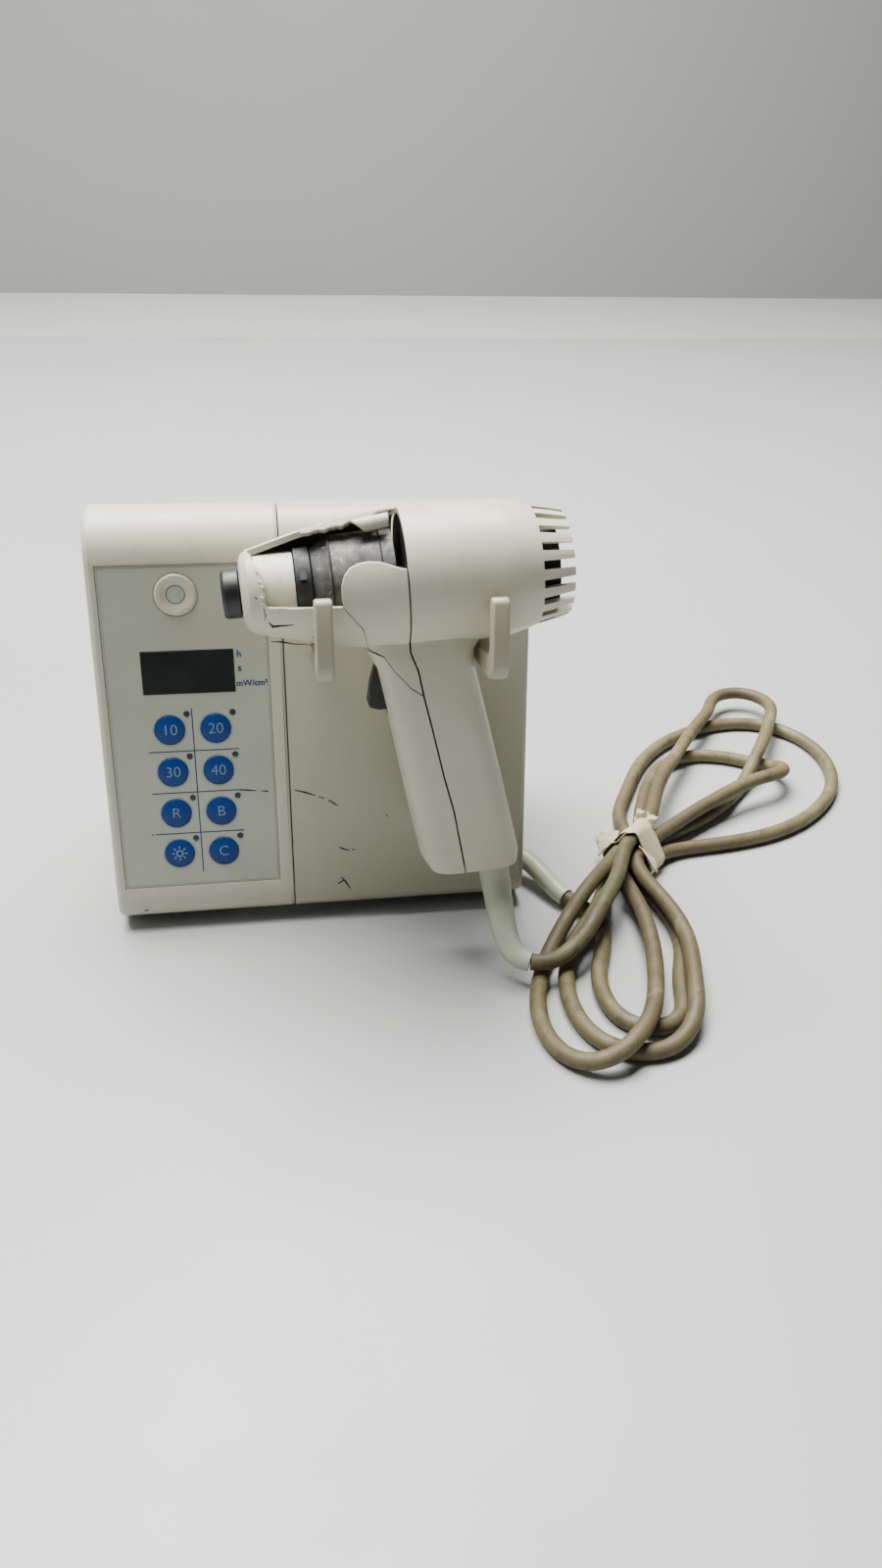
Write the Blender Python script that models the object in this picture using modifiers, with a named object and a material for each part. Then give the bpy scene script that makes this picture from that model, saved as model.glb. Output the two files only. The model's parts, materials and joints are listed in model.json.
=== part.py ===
"""Light-curing lamp: a pistol-shaped light gun lying in the hooks of its tabletop console.

Two frames are used. The world frame stands on the table, +Z up. The face frame is fixed to the
console's raked front: X to the right from the left edge, Y into the console from its front face,
Z up along that face. The gun has its own frame, +X along the barrel from nose to fan.
"""
import math

import bmesh
import bpy
import numpy as np
from mathutils import Matrix, Vector

MM = 0.001

# ---------------------------------------------------------------- driving dimensions (mm)
FACE_LEAN = math.radians(10.0)      # the front face leans back from the vertical
FACE_LIFT = 1.76                    # height of the face frame's origin over the table
ORIGIN = (90.195, 36.765)           # world point under the centre of the object, x and y

CONSOLE_WIDTH = 178.0
FLOOR_GAP = 4.0                     # underside of the console over the table
WALL = 2.6
GAP = 0.3                           # clearance between neighbouring solids
SEAM_X = 75.1                       # the groove between the two console shells
SEAM_WIDTH = 1.6
FRONT_TOP = 158.5                   # where the flat face ends, in the face frame
FRONT_BOTTOM = 13.0
TOP_RADIUS = 20.0
BOTTOM_RADIUS = 9.0
TOP_SLOPE = math.radians(24.0)      # the top falls away behind the front edge
REAR_SLOPE = math.radians(38.0)
TOP_SWEEP_RADIUS = 240.0
REAR_RADIUS = 12.0

PANEL_X = (4.0, 69.7)               # printed overlay
PANEL_Z = (19.5, 157.4)
PANEL_RECESS = 1.2
PANEL_FRONT = 0.3
PANEL_THICKNESS = 0.6
DISPLAY_X = (18.5, 55.6)
DISPLAY_Z = (104.9, 122.9)
PORT = (34.3, 145.4)                # light meter port, x and z
PORT_RADIUS = 8.5
LENS_RADIUS = 3.5
KEY_COLUMNS = (27.9, 46.5)
KEY_ROWS = (89.7, 71.4, 53.1, 34.8)
KEY_NAMES = (("key_10", "key_20"), ("key_30", "key_40"), ("key_r", "key_b"), ("key_mode", "key_c"))
KEY_RADIUS = 6.15
STEM_RADIUS = 3.5
LED_OFFSET = (7.2, 6.6)             # from a key's centre
LED_RADIUS = 1.0

PLATE = 2.0                         # thickness of the base plate
INLET = (46.0, 34.0)                # mains inlet on the rear panel, x and z
FUSE_X = 86.0
CORE_X = (98.0, 164.0)              # the transformer's core
CORE_Y = (48.0, 78.0)
CORE_LEG = 11.0                     # half the width of the core's middle leg

ROCKER_CENTRE = (30.0, 49.0)        # on the left wall, face frame y and z
ROCKER_TILT = math.radians(10.0)

BARREL_NOSE = (53.6, -33.0, 151.24)  # the gun frame's origin, in the face frame
BARREL_DROOP = math.radians(3.87)   # the nose hangs lower than the fan end
BARREL_PROFILE = (                  # station along the barrel, outer radius
    (7.0, 11.8), (8.0, 13.8), (10.0, 15.4), (29.0, 20.5), (46.0, 24.0), (62.0, 26.0),
    (102.0, 26.0), (107.0, 25.3), (112.0, 23.9), (117.0, 22.5), (124.0, 21.1), (129.0, 19.8),
)
SHELL = 2.2
GRIP_SECTIONS = (                   # height, front station, rear station, half depth
    (-12.0, 46.0, 100.0, 12.5), (-23.0, 49.0, 95.6, 14.0), (-28.0, 52.0, 92.2, 14.6),
    (-33.0, 54.0, 91.6, 15.0), (-60.0, 58.0, 96.2, 15.0), (-90.0, 62.0, 101.6, 14.6),
    (-113.0, 65.6, 105.4, 14.2), (-119.0, 69.0, 104.6, 12.6),
)
GRIP_POWER = 3.6                    # squareness of the grip's cross-section
SEAM_LINE = (                       # joint between the gun's front and rear housings
    (66.7, 40.0), (66.7, -26.0), (69.0, -33.0), (70.4, -43.6), (72.4, -55.0), (75.9, -76.6),
    (78.8, -91.0), (83.4, -130.0),
)
CRACK_LINE = (                      # the break across the top of the grip's front half
    (30.0, -24.0), (50.2, -24.0), (56.6, -26.7), (59.8, -32.2), (65.5, -39.3), (71.5, -44.0),
)
SADDLE_OUTLINE = (                  # the loose shoulder piece on the near side
    (42.6, -4.8), (42.2, -1.0), (42.5, 3.0), (43.9, 6.7), (46.2, 9.2), (49.4, 10.5), (53.2, 10.9),
    (57.4, 10.5), (61.2, 9.1), (64.6, 7.8), (68.0, 7.2),
    (72.5, -30.0), (71.5, -44.0), (65.5, -39.3), (59.8, -32.2), (56.6, -26.7), (51.2, -24.0),
    (49.2, -14.0), (46.0, -9.6),
)
BROKEN_OUTLINE = (                  # the part of the nose cover that is broken away
    (10.4, 40.0), (10.6, 15.2), (12.0, 14.0), (12.8, 11.6), (14.4, 10.2), (14.6, 7.2), (15.6, 5.6),
    (14.8, 3.4), (15.6, 1.2), (15.0, -1.4), (15.8, -3.2), (24.0, -3.9), (43.0, -4.4),
    (80.0, -4.4), (80.0, 40.0),
)
SEAM_GAP = 0.7                      # the worn joint between the housings
CRACK_GAP = 0.5
FIN_COUNT = 20
FIN_WIDTH = 3.6
FIN_ROOT = 116.6
BARREL_END = 129.0

TRIGGER_PIVOT = (58.5, -36.0)       # station and height in the gun frame

HOOKS = (("holder_left", 88.9, -56.5, 131.2, 153.6), ("holder_right", 152.0, -60.0, 130.6, 153.0))
HOOK_WIDTH = 6.6
HOOK_THICKNESS = 6.0

CORD_DIAMETER = 7.0
TIE_CENTRE = (238.0, 26.0)
TIE_ALONG = (0.700, 0.714)          # the bundle's direction through the tape
TIE_ACROSS = (0.714, -0.700)
TIE_HALF_LENGTH = 7.5
TAPE_HALF_WIDTH = 5.4
TAPE_OFFSETS = (4.65, 5.35)          # inner and outer surface from the corner strands' centres
STRANDS = {                         # place of each strand in the tied bundle: across, height
    "gun": (0.0, 19.1), "second": (-4.0, 12.3), "third": (-8.0, 5.5),
    "first_back": (0.0, 5.5), "second_back": (4.0, 12.3), "third_back": (8.0, 5.5),
}
GUN_RELIEF = ((155.6, -25.0, 49.4), (161.2, -29.4, 24.7), (157.0, -50.0, 11.0), (169.0, -53.0, 11.1))
CONSOLE_RELIEF = ((175.0, 28.0, 11.0), (188.0, 28.0, 11.0), (191.0, 6.0, 5.4), (197.5, -2.0, 4.8))
GUN_LEAD = [
    (181.0, -53.6, 11.8), (191.0, -46.5, 13.8), (201.0, -35.0, 17.2),
    (209.5, -22.5, 19.2), (219.0, -7.0, 18.8),
]
LOBE_TALL = [
    (253.0, 49.0, 17.6), (267.0, 79.0, 15.4), (290.0, 115.0, 13.4), (313.0, 148.0, 12.2),
    (326.0, 167.0, 10.8), (335.5, 182.5, 10.6),
    (354.0, 186.0, 10.8), (364.0, 171.0, 11.2), (356.5, 149.0, 12.0),
    (342.0, 123.0, 12.6), (333.0, 109.0, 12.8), (317.0, 88.5, 4.8), (283.0, 58.0, 3.8), (254.0, 40.5, 4.0),
]
LOOP_WIDE = [
    (229.4, 13.0, 5.0), (227.8, 2.0, 6.2), (226.8, -18.0, 9.4), (224.0, -44.0, 10.2), (218.0, -68.0, 11.2),
    (209.0, -91.0, 11.5), (197.5, -104.5, 10.9), (187.5, -109.5, 8.0), (177.0, -106.0, 4.4),
    (170.0, -96.5, 3.6),
    (167.5, -80.0, 3.6), (172.0, -59.0, 3.6), (181.0, -39.0, 4.2), (194.0, -21.5, 10.4),
    (208.0, -4.5, 14.2), (217.5, 7.5, 13.0),
]
LOBE_SHORT = [
    (248.5, 52.0, 10.4), (262.0, 84.0, 8.0), (273.0, 104.0, 5.4), (286.0, 118.5, 3.6), (302.0, 124.5, 3.6),
    (319.0, 121.0, 3.6), (334.0, 111.5, 3.6), (342.5, 97.0, 9.0), (335.0, 83.5, 13.8), (319.0, 77.0, 14.6),
    (297.0, 66.0, 13.0), (275.0, 52.0, 11.8), (258.0, 39.5, 11.0),
]
LOOP_NARROW = [
    (233.4, 7.0, 11.7), (235.4, -6.0, 11.4), (239.6, -28.0, 11.2), (238.4, -52.0, 11.0), (233.0, -73.0, 10.9),
    (227.2, -91.0, 7.6), (214.5, -102.0, 3.7), (199.0, -102.5, 3.6), (187.5, -94.0, 3.6),
    (182.5, -79.0, 3.6), (182.8, -62.0, 3.6), (187.0, -47.0, 3.8), (194.0, -34.0, 6.6),
    (206.0, -21.5, 11.5), (210.0, -13.5, 11.2), (214.8, -2.4, 6.2), (218.5, 6.0, 4.6),
]
LOBE_FLAT = [
    (241.0, 60.0, 3.6), (252.0, 87.0, 3.6), (268.0, 116.0, 3.6), (291.0, 141.0, 3.6),
    (314.0, 154.5, 3.6), (338.0, 160.5, 3.6), (358.0, 155.0, 3.6), (372.0, 137.0, 3.6),
    (374.5, 109.0, 3.6), (365.0, 82.0, 3.6), (346.0, 60.0, 3.6), (322.0, 44.5, 3.6),
    (297.0, 37.0, 3.6), (274.0, 34.0, 3.6), (260.0, 32.0, 3.6),
]
CONSOLE_LEAD = [
    (236.2, 4.5, 4.8), (238.6, -7.0, 4.1), (241.0, -26.0, 3.6), (237.0, -48.0, 3.6),
    (230.4, -66.0, 3.6), (227.6, -77.0, 3.6), (222.0, -86.6, 3.6), (212.3, -90.7, 3.6),
    (202.6, -86.6, 3.6), (197.2, -76.5, 3.6), (197.0, -61.0, 3.6), (202.0, -45.0, 3.6),
    (207.0, -33.0, 3.6), (208.5, -20.5, 3.6), (204.5, -9.5, 3.8),
]
CORD_POINTS = 88
RELIEF_GAP = 0.35                   # between a strain relief and the lead
RELIEF_STEPS = 10
RELIEF_LEAD = 4.6                   # straight length of lead past a strain relief


# ---------------------------------------------------------------- helpers
def mm(values):
    """A point or size given in millimetres, in metres."""
    return tuple(value * MM for value in values)


def lean(y, z):
    """World y and z (mm) of a face-frame point."""
    cos, sin = math.cos(FACE_LEAN), math.sin(FACE_LEAN)
    return y * cos + z * sin, z * cos - y * sin + FACE_LIFT


def arc(centre, radius, start, end, steps):
    """Points (mm) on an arc, angles in radians."""
    angles = [start + (end - start) * i / steps for i in range(steps + 1)]
    return [(centre[0] + radius * math.cos(a), centre[1] + radius * math.sin(a)) for a in angles]


def material(name, color, roughness, metallic=0.0):
    mat = bpy.data.materials.new(name)
    mat.use_nodes = True
    shader = mat.node_tree.nodes["Principled BSDF"]
    shader.inputs["Base Color"].default_value = (*color, 1.0)
    shader.inputs["Roughness"].default_value = roughness
    shader.inputs["Metallic"].default_value = metallic
    return mat


def place(obj, parent, location=(0.0, 0.0, 0.0), rotation=(0.0, 0.0, 0.0), collection=None):
    obj.parent = parent
    obj.location = mm(location)
    obj.rotation_euler = rotation
    (collection or PARTS).objects.link(obj)
    return obj


def new_object(name, bm, mat=None):
    mesh = bpy.data.meshes.new(name)
    bm.to_mesh(mesh)
    bm.free()
    if mat:
        mesh.materials.append(mat)
    return bpy.data.objects.new(name, mesh)


def box(name, low, high, mat=None):
    """A box between two corners in millimetres."""
    bm = bmesh.new()
    size = [h - l for l, h in zip(low, high)]
    middle = [(h + l) / 2 for l, h in zip(low, high)]
    matrix = Matrix.Translation(mm(middle)) @ Matrix.Diagonal((*mm(size), 1.0))
    bmesh.ops.create_cube(bm, size=1.0, matrix=matrix)
    return new_object(name, bm, mat)


def prism(name, outline, start, end, plane, mat=None, twist=0.0):
    """An outline (mm) extruded between two distances along the axis its plane leaves out."""
    order = {"YZ": (1, 2, 0), "XZ": (0, 2, 1), "XY": (0, 1, 2)}[plane]

    def point(u, v, depth):
        coordinates = [0.0, 0.0, 0.0]
        coordinates[order[0]], coordinates[order[1]], coordinates[order[2]] = u, v, depth
        return mm(coordinates)

    cos, sin = math.cos(twist), math.sin(twist)
    bm = bmesh.new()
    near = [bm.verts.new(point(u, v, start)) for u, v in outline]
    far = [bm.verts.new(point(u * cos - v * sin, u * sin + v * cos, end)) for u, v in outline]
    bm.faces.new(near)
    bm.faces.new(far)
    for i in range(len(outline)):
        j = (i + 1) % len(outline)
        bm.faces.new((near[i], near[j], far[j], far[i]))
    bmesh.ops.recalc_face_normals(bm, faces=bm.faces)
    return new_object(name, bm, mat)


def turned(name, profile, mat=None, segments=24, closed=False):
    """A body turned about Z from (radius, height) points, top to bottom on the outer side."""
    bm = bmesh.new()
    verts = [bm.verts.new((radius * MM, 0.0, height * MM)) for radius, height in profile]
    for a, b in zip(verts, verts[1:]):
        bm.edges.new((a, b))
    if closed:
        bm.edges.new((verts[-1], verts[0]))
    obj = new_object(name, bm, mat)
    screw = obj.modifiers.new("Turn", "SCREW")
    screw.angle = math.tau
    screw.steps = screw.render_steps = segments
    screw.use_merge_vertices = True
    screw.merge_threshold = 0.00001
    screw.use_smooth_shade = True
    return obj


def ring(name, outer, inner, low, high, mat=None, segments=24):
    """A plain ring between two heights."""
    profile = ((outer, high), (outer, low), (inner, low), (inner, high))
    return turned(name, profile, mat, segments, closed=True)


def disc(name, radius, low, high, mat=None, segments=24):
    return turned(name, ((0.0, high), (radius, high), (radius, low), (0.0, low)), mat, segments)


def along_barrel(obj, parent, station=0.0, height=0.0):
    """Puts a turned body's axis on the gun's barrel axis."""
    return place(obj, parent, (station, 0.0, height), (0.0, math.pi / 2, 0.0))


def facing(obj, parent, x, z, y=0.0):
    """Points a turned body's axis out of the console's front face."""
    return place(obj, parent, (x, y, z), (math.pi / 2, 0.0, 0.0))


def cut(obj, cutter, operation="DIFFERENCE", solver="EXACT"):
    """Joins, cuts or trims one object by another, which goes with the cutters."""
    for collection in list(cutter.users_collection):
        collection.objects.unlink(cutter)
    CUTTERS.objects.link(cutter)
    cutter.hide_render = True
    cutter.display_type = "WIRE"
    modifier = obj.modifiers.new(operation.title(), "BOOLEAN")
    modifier.operation = operation
    modifier.object = cutter
    modifier.solver = solver
    return obj


def tool(obj, parent, location=(0.0, 0.0, 0.0), rotation=(0.0, 0.0, 0.0)):
    """Places a cutter or a guide shape, which is no part of the object."""
    obj.hide_render = True
    obj.display_type = "WIRE"
    return place(obj, parent, location, rotation, CUTTERS)


def copy_shape(name, source, mat):
    """A new part that starts from a helper's mesh and modifiers."""
    obj = source.copy()
    obj.data = source.data.copy()
    obj.name = obj.data.name = name
    obj.data.materials.clear()
    obj.data.materials.append(mat)
    obj.hide_render = False
    obj.display_type = "TEXTURED"
    PARTS.objects.link(obj)
    return obj


def smooth_curve(points, count, sharpness=0.55):
    """A natural cubic spline through points, read at stations that crowd where it bends."""
    points = np.array(points, dtype=float)
    steps = np.linalg.norm(np.diff(points, axis=0), axis=1)
    knots = np.concatenate(([0.0], np.cumsum(steps)))
    size = len(points)
    system = np.eye(size)
    right = np.zeros((size, 3))
    for i in range(1, size - 1):
        left_step, right_step = steps[i - 1], steps[i]
        system[i, i - 1 : i + 2] = left_step, 2 * (left_step + right_step), right_step
        slope = (points[i + 1] - points[i]) / right_step - (points[i] - points[i - 1]) / left_step
        right[i] = 6 * slope
    bends = np.linalg.solve(system, right)

    def read(station):
        i = min(int(np.searchsorted(knots, station, side="right")) - 1, size - 2)
        h = steps[i]
        a, b = (knots[i + 1] - station) / h, (station - knots[i]) / h
        curve = (a**3 - a) * bends[i] + (b**3 - b) * bends[i + 1]
        return a * points[i] + b * points[i + 1] + curve * h * h / 6

    fine = np.array([read(s) for s in np.linspace(0.0, knots[-1], 1201)])
    lengths = np.linalg.norm(np.diff(fine, axis=0), axis=1)
    heading = np.diff(fine, axis=0) / lengths[:, None]
    turn = np.zeros(len(lengths))
    turn[1:] = np.linalg.norm(np.diff(heading, axis=0), axis=1)
    turn = np.convolve(turn, np.ones(15) / 15, mode="same")
    weight = lengths * (1.0 - sharpness) / lengths.sum() + turn * sharpness / turn.sum()
    total = np.concatenate(([0.0], np.cumsum(weight)))
    wanted = np.linspace(0.0, total[-1], count)
    return [tuple(np.interp(w, total, fine[:, axis]) for axis in range(3)) for w in wanted]


def bezier(control, steps):
    """Points on a cubic Bezier curve."""
    a, b, c, d = (Vector(p) for p in control)
    points = []
    for i in range(steps + 1):
        t = i / steps
        s = 1 - t
        points.append(tuple(a * s**3 + b * 3 * s * s * t + c * 3 * s * t * t + d * t**3))
    return points


def tube(name, points, radius, mat, parent, resolution=2, radii=None):
    """A round tube along points, as a curve with filled caps; radii scale it along its length."""
    curve = bpy.data.curves.new(name, "CURVE")
    curve.dimensions = "3D"
    curve.bevel_depth = radius * MM
    curve.bevel_resolution = resolution
    curve.use_fill_caps = True
    spline = curve.splines.new("POLY")
    spline.points.add(len(points) - 1)
    for i, point in enumerate(points):
        spline.points[i].co = (*mm(point), 1.0)
        spline.points[i].radius = radii[i] if radii else 1.0
    curve.materials.append(mat)
    return place(bpy.data.objects.new(name, curve), parent)


# ---------------------------------------------------------------- console
def console_profile():
    """The console's side outline in world y and z (mm), from the front bottom over the top."""
    bottom_centre = lean(BOTTOM_RADIUS, FRONT_BOTTOM)
    top_centre = lean(TOP_RADIUS, FRONT_TOP)
    front = math.pi - FACE_LEAN
    points = arc(bottom_centre, BOTTOM_RADIUS, 1.5 * math.pi, front, 5)
    top_end = math.pi / 2 - TOP_SLOPE
    points += arc(top_centre, TOP_RADIUS, front, top_end, 9)
    shoulder = points[-1]
    rear_start = math.pi / 2 - REAR_SLOPE
    sweep_centre = (
        shoulder[0] - TOP_SWEEP_RADIUS * math.cos(top_end),
        shoulder[1] - TOP_SWEEP_RADIUS * math.sin(top_end),
    )
    points += arc(sweep_centre, TOP_SWEEP_RADIUS, top_end, rear_start, 5)[1:]
    brink = points[-1]
    rear_centre = (
        brink[0] - REAR_RADIUS * math.cos(rear_start),
        brink[1] - REAR_RADIUS * math.sin(rear_start),
    )
    points += arc(rear_centre, REAR_RADIUS, rear_start, 0.0, 3)[1:]
    return points


def console_shell(name, side_x, seam_x):
    """One half of the housing: front, top and one side wall, open at the seam, back and base."""
    profile = console_profile()
    rear, top = profile[-1]
    bm = bmesh.new()
    side = [bm.verts.new(mm((side_x, y, z))) for y, z in profile]
    seam = [bm.verts.new(mm((seam_x, y, z))) for y, z in profile]
    foot = bm.verts.new(mm((side_x, rear, FLOOR_GAP)))
    for i in range(len(profile) - 1):
        bm.faces.new((side[i], side[i + 1], seam[i + 1], seam[i]))
    wall = bm.faces.new([*side, foot])
    edges = [edge for edge in wall.edges if foot not in edge.verts and len(edge.link_faces) == 2]
    bmesh.ops.recalc_face_normals(bm, faces=bm.faces)
    outward = 1.0 if side_x > seam_x else -1.0
    if wall.normal.x * outward < 0:
        bmesh.ops.reverse_faces(bm, faces=bm.faces)
    bmesh.ops.bevel(bm, geom=edges, offset=2.0 * MM, segments=2, profile=0.5, affect="EDGES")
    obj = place(new_object(name, bm, HOUSING), TABLE)
    solid = obj.modifiers.new("Wall", "SOLIDIFY")
    solid.thickness = WALL * MM
    solid.offset = -1.0
    solid.use_even_offset = True
    return obj


def key_places():
    for row, names in zip(KEY_ROWS, KEY_NAMES):
        for column, name in zip(KEY_COLUMNS, names):
            yield name, column, row


def front_hole(obj, x, z, radius, low=-2.0, high=8.0, segments=20):
    """A round hole through the front wall, square to the face."""
    hole = disc(f"{obj.name}_hole", radius, -high, -low, segments=segments)
    cut(obj, facing(hole, FACE, x, z))


def front_window(obj, x_range, z_range, low=-2.0, high=8.0):
    window = box(f"{obj.name}_window", (x_range[0], low, z_range[0]), (x_range[1], high, z_range[1]))
    cut(obj, tool(window, FACE))


def grown(span, by):
    return span[0] - by, span[1] + by


def make_left_shell():
    shell = console_shell("left_shell", 0.0, SEAM_X - SEAM_WIDTH / 2)
    front_window(shell, PANEL_X, PANEL_Z, -2.0, PANEL_RECESS)
    front_window(shell, grown(DISPLAY_X, -2.0), grown(DISPLAY_Z, -2.0))
    front_hole(shell, *PORT, LENS_RADIUS + GAP)
    for _, x, z in key_places():
        front_hole(shell, x, z, STEM_RADIUS + 0.5, segments=16)
        front_hole(shell, x + LED_OFFSET[0], z + LED_OFFSET[1], LED_RADIUS + GAP, segments=8)
    y, z = ROCKER_CENTRE
    opening = box("rocker_opening", (-3.0, y - 7.5, z - 11.3), (6.0, y + 7.5, z + 11.3))
    cut(shell, tool(opening, FACE))


def make_right_shell():
    shell = console_shell("right_shell", CONSOLE_WIDTH, SEAM_X + SEAM_WIDTH / 2)
    exit_hole = disc("relief_opening", 6.2, -4.0, 8.0, segments=20)
    _, y, z = CONSOLE_RELIEF[0]
    tool(exit_hole, TABLE, (CONSOLE_WIDTH - 3.0, y, z), (0.0, math.pi / 2, 0.0))
    cut(shell, exit_hole)


def make_front_panel():
    """Printed overlay, display, light meter port, keys and indicators."""
    overlay = box(
        "control_overlay",
        (PANEL_X[0] + GAP, PANEL_FRONT, PANEL_Z[0] + GAP),
        (PANEL_X[1] - GAP, PANEL_FRONT + PANEL_THICKNESS, PANEL_Z[1] - GAP), OVERLAY,
    )
    place(overlay, FACE)
    front_window(overlay, DISPLAY_X, DISPLAY_Z)
    front_hole(overlay, *PORT, PORT_RADIUS + GAP)
    for _, x, z in key_places():
        front_hole(overlay, x, z, KEY_RADIUS + GAP, segments=20)
        front_hole(overlay, x + LED_OFFSET[0], z + LED_OFFSET[1], LED_RADIUS + GAP, segments=8)

    window = box(
        "display_window", (DISPLAY_X[0] + GAP, 0.1, DISPLAY_Z[0] + GAP),
        (DISPLAY_X[1] - GAP, 0.9, DISPLAY_Z[1] - GAP), DARK_GLASS,
    )
    place(window, FACE)
    module = box(
        "display_module", (DISPLAY_X[0] + 1.0, WALL + GAP, DISPLAY_Z[0]),
        (DISPLAY_X[1] - 1.0, 12.0, DISPLAY_Z[1]), BLACK,
    )
    place(module, FACE)

    port = (
        (PORT_RADIUS, -0.4), (PORT_RADIUS, -0.9), (LENS_RADIUS + GAP, -0.9), (LENS_RADIUS + GAP, -0.2),
        (5.2, -0.2), (5.9, 0.4), (7.6, 0.4),
    )
    port = [port[-1], *port[:-1]]
    facing(turned("radiometer_ring", port, HOUSING, 24, closed=True), FACE, *PORT)
    lens = turned(
        "radiometer_lens", ((0.0, -0.5), (LENS_RADIUS, -0.5), (LENS_RADIUS, -6.0), (0.0, -6.0)), LENS, 20
    )
    facing(lens, FACE, *PORT)

    stem_end = WALL + 2.8
    for name, x, z in key_places():
        profile = (
            (0.0, 0.05), (KEY_RADIUS - 0.5, 0.0), (KEY_RADIUS, -0.2), (KEY_RADIUS, -0.6),
            (STEM_RADIUS, -0.6), (STEM_RADIUS, -stem_end), (0.0, -stem_end),
        )
        facing(turned(name, profile, KEY_BLUE, 16), FACE, x, z)

    light_pipe = box(
        "led_light_pipe", (KEY_COLUMNS[0] + 5.7, WALL + GAP, KEY_ROWS[3] + 4.4),
        (KEY_COLUMNS[0] + 8.7, WALL + 1.6, KEY_ROWS[0] + 8.8), LENS,
    )
    place(light_pipe, FACE)
    second = box(
        "light_pipe_rail", (KEY_COLUMNS[1] + 5.7, WALL + GAP, KEY_ROWS[3] + 4.4),
        (KEY_COLUMNS[1] + 8.7, WALL + 1.6, KEY_ROWS[0] + 8.8),
    )
    cut(light_pipe, tool(second, FACE), "UNION")
    for z in (KEY_ROWS[0] - 9.2, KEY_ROWS[2] - 9.2):
        bridge = box(
            "light_pipe_bridge", (KEY_COLUMNS[0] + 7.0, WALL + GAP + 0.2, z - 1.0),
            (KEY_COLUMNS[1] + 7.0, WALL + 1.4, z + 1.0),
        )
        cut(light_pipe, tool(bridge, FACE), "UNION")
    for _, x, z in key_places():
        pin = disc("light_pipe_pin", LED_RADIUS, -WALL - 1.0, -0.15, segments=8)
        cut(light_pipe, facing(pin, FACE, x + LED_OFFSET[0], z + LED_OFFSET[1]), "UNION")

    board = box("key_switch_board", (19.0, WALL + 3.5, 25.0), (58.0, WALL + 5.1, 99.0), BOARD_GREEN)
    place(board, FACE)


def make_power_switch():
    y, z = ROCKER_CENTRE
    body = box("power_switch_body", (-1.5, y - 8.5, z - 12.5), (-GAP, y + 8.5, z + 12.5), BLACK)
    place(body, FACE)
    core = box("switch_core", (-1.0, y - 7.2, z - 11.0), (16.0, y + 7.2, z + 11.0))
    cut(body, tool(core, FACE), "UNION")
    pocket = box("switch_pocket", (-3.0, y - 6.3, z - 9.9), (7.5, y + 6.3, z + 9.9))
    cut(body, tool(pocket, FACE))
    outline = (
        (-3.4, 9.0), (-2.9, 6.0), (-2.2, 0.0), (-2.9, -6.0), (-3.4, -9.0), (0.0, -9.2), (3.4, -4.0),
        (3.4, 4.0), (0.0, 9.2),
    )
    rocker = prism("power_rocker", outline, -5.8, 5.8, "XZ", BLACK)
    place(rocker, FACE, (1.6, y, z), (0.0, -ROCKER_TILT, 0.0))


def make_hooks():
    """Two J-shaped hooks on the right shell that carry the gun."""
    for name, x, upright_y, arm_top, top in HOOKS:
        low = arm_top - 8.5
        inner = upright_y
        outer = upright_y - HOOK_THICKNESS
        outline = [(-GAP, low - 6.0), (-6.0, low - 1.0), (-14.0, low)]
        outline += arc((outer + 7.0, low + 7.0), 7.0, 1.5 * math.pi, math.pi, 4)
        outline += arc((outer + 2.0, top - 2.0), 2.0, math.pi, math.pi / 2, 2)
        outline += arc((inner - 2.0, top - 2.0), 2.0, math.pi / 2, 0.0, 2)
        outline += arc((inner + 4.0, arm_top + 4.0), 4.0, math.pi, 1.5 * math.pi, 3)
        outline += [(-4.0, arm_top), (-GAP, arm_top + 3.0)]
        half = HOOK_WIDTH / 2
        hook = prism(name, outline, -half, half, "YZ", HOUSING)
        place(hook, FACE, (x, 0.0, 0.0))


def table_box(name, low, high, material=None):
    """A box of the table frame: a piece of its own if it has a material, else a helper."""
    shape = box(name, low, high, material)
    return place(shape, TABLE) if material else tool(shape, TABLE)


def around(x, z, half_x, half_z, near, far):
    """The low and high corner of a box centred on a point of the rear panel."""
    return (x - half_x, near, z - half_z), (x + half_x, far, z + half_z)


def make_base(inside, rear):
    """The base plate on its four feet."""
    top = FLOOR_GAP + PLATE
    table_box("base_plate", (inside, 18.0, FLOOR_GAP), (CONSOLE_WIDTH - inside, rear, top), STEEL)
    foot = ((0.0, FLOOR_GAP - GAP), (7.5, FLOOR_GAP - GAP), (6.5, 0.0), (0.0, 0.0))
    for side, x in (("left", 16.0), ("right", CONSOLE_WIDTH - 16.0)):
        for end, y in (("front", 26.0), ("rear", rear - 16.0)):
            place(turned(f"foot_{end}_{side}", foot, RUBBER, 20), TABLE, (x, y, 0.0))


def make_rear_panel(inside, rear):
    """The rear panel with openings for the mains inlet, the fuse and the warm air."""
    low, top = FLOOR_GAP + PLATE + GAP, console_profile()[-1][1] - 8 * GAP
    panel = table_box("rear_panel", (inside, rear - 2.4, low), (CONSOLE_WIDTH - inside, rear, top), HOUSING)
    cut(panel, table_box("inlet_opening", *around(*INLET, 14.0, 10.0, 90.0, 140.0)))
    fuse_hole = disc("fuse_opening", 6.3, -10.0, 10.0, segments=20)
    cut(panel, tool(fuse_hole, TABLE, (FUSE_X, rear, INLET[1]), (math.pi / 2, 0.0, 0.0)))
    for i in range(6):
        x = 108.0 + 9.0 * i
        cut(panel, table_box("vent_slot", (x, 90.0, 70.0), (x + 3.0, 140.0, 104.0)))


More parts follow.
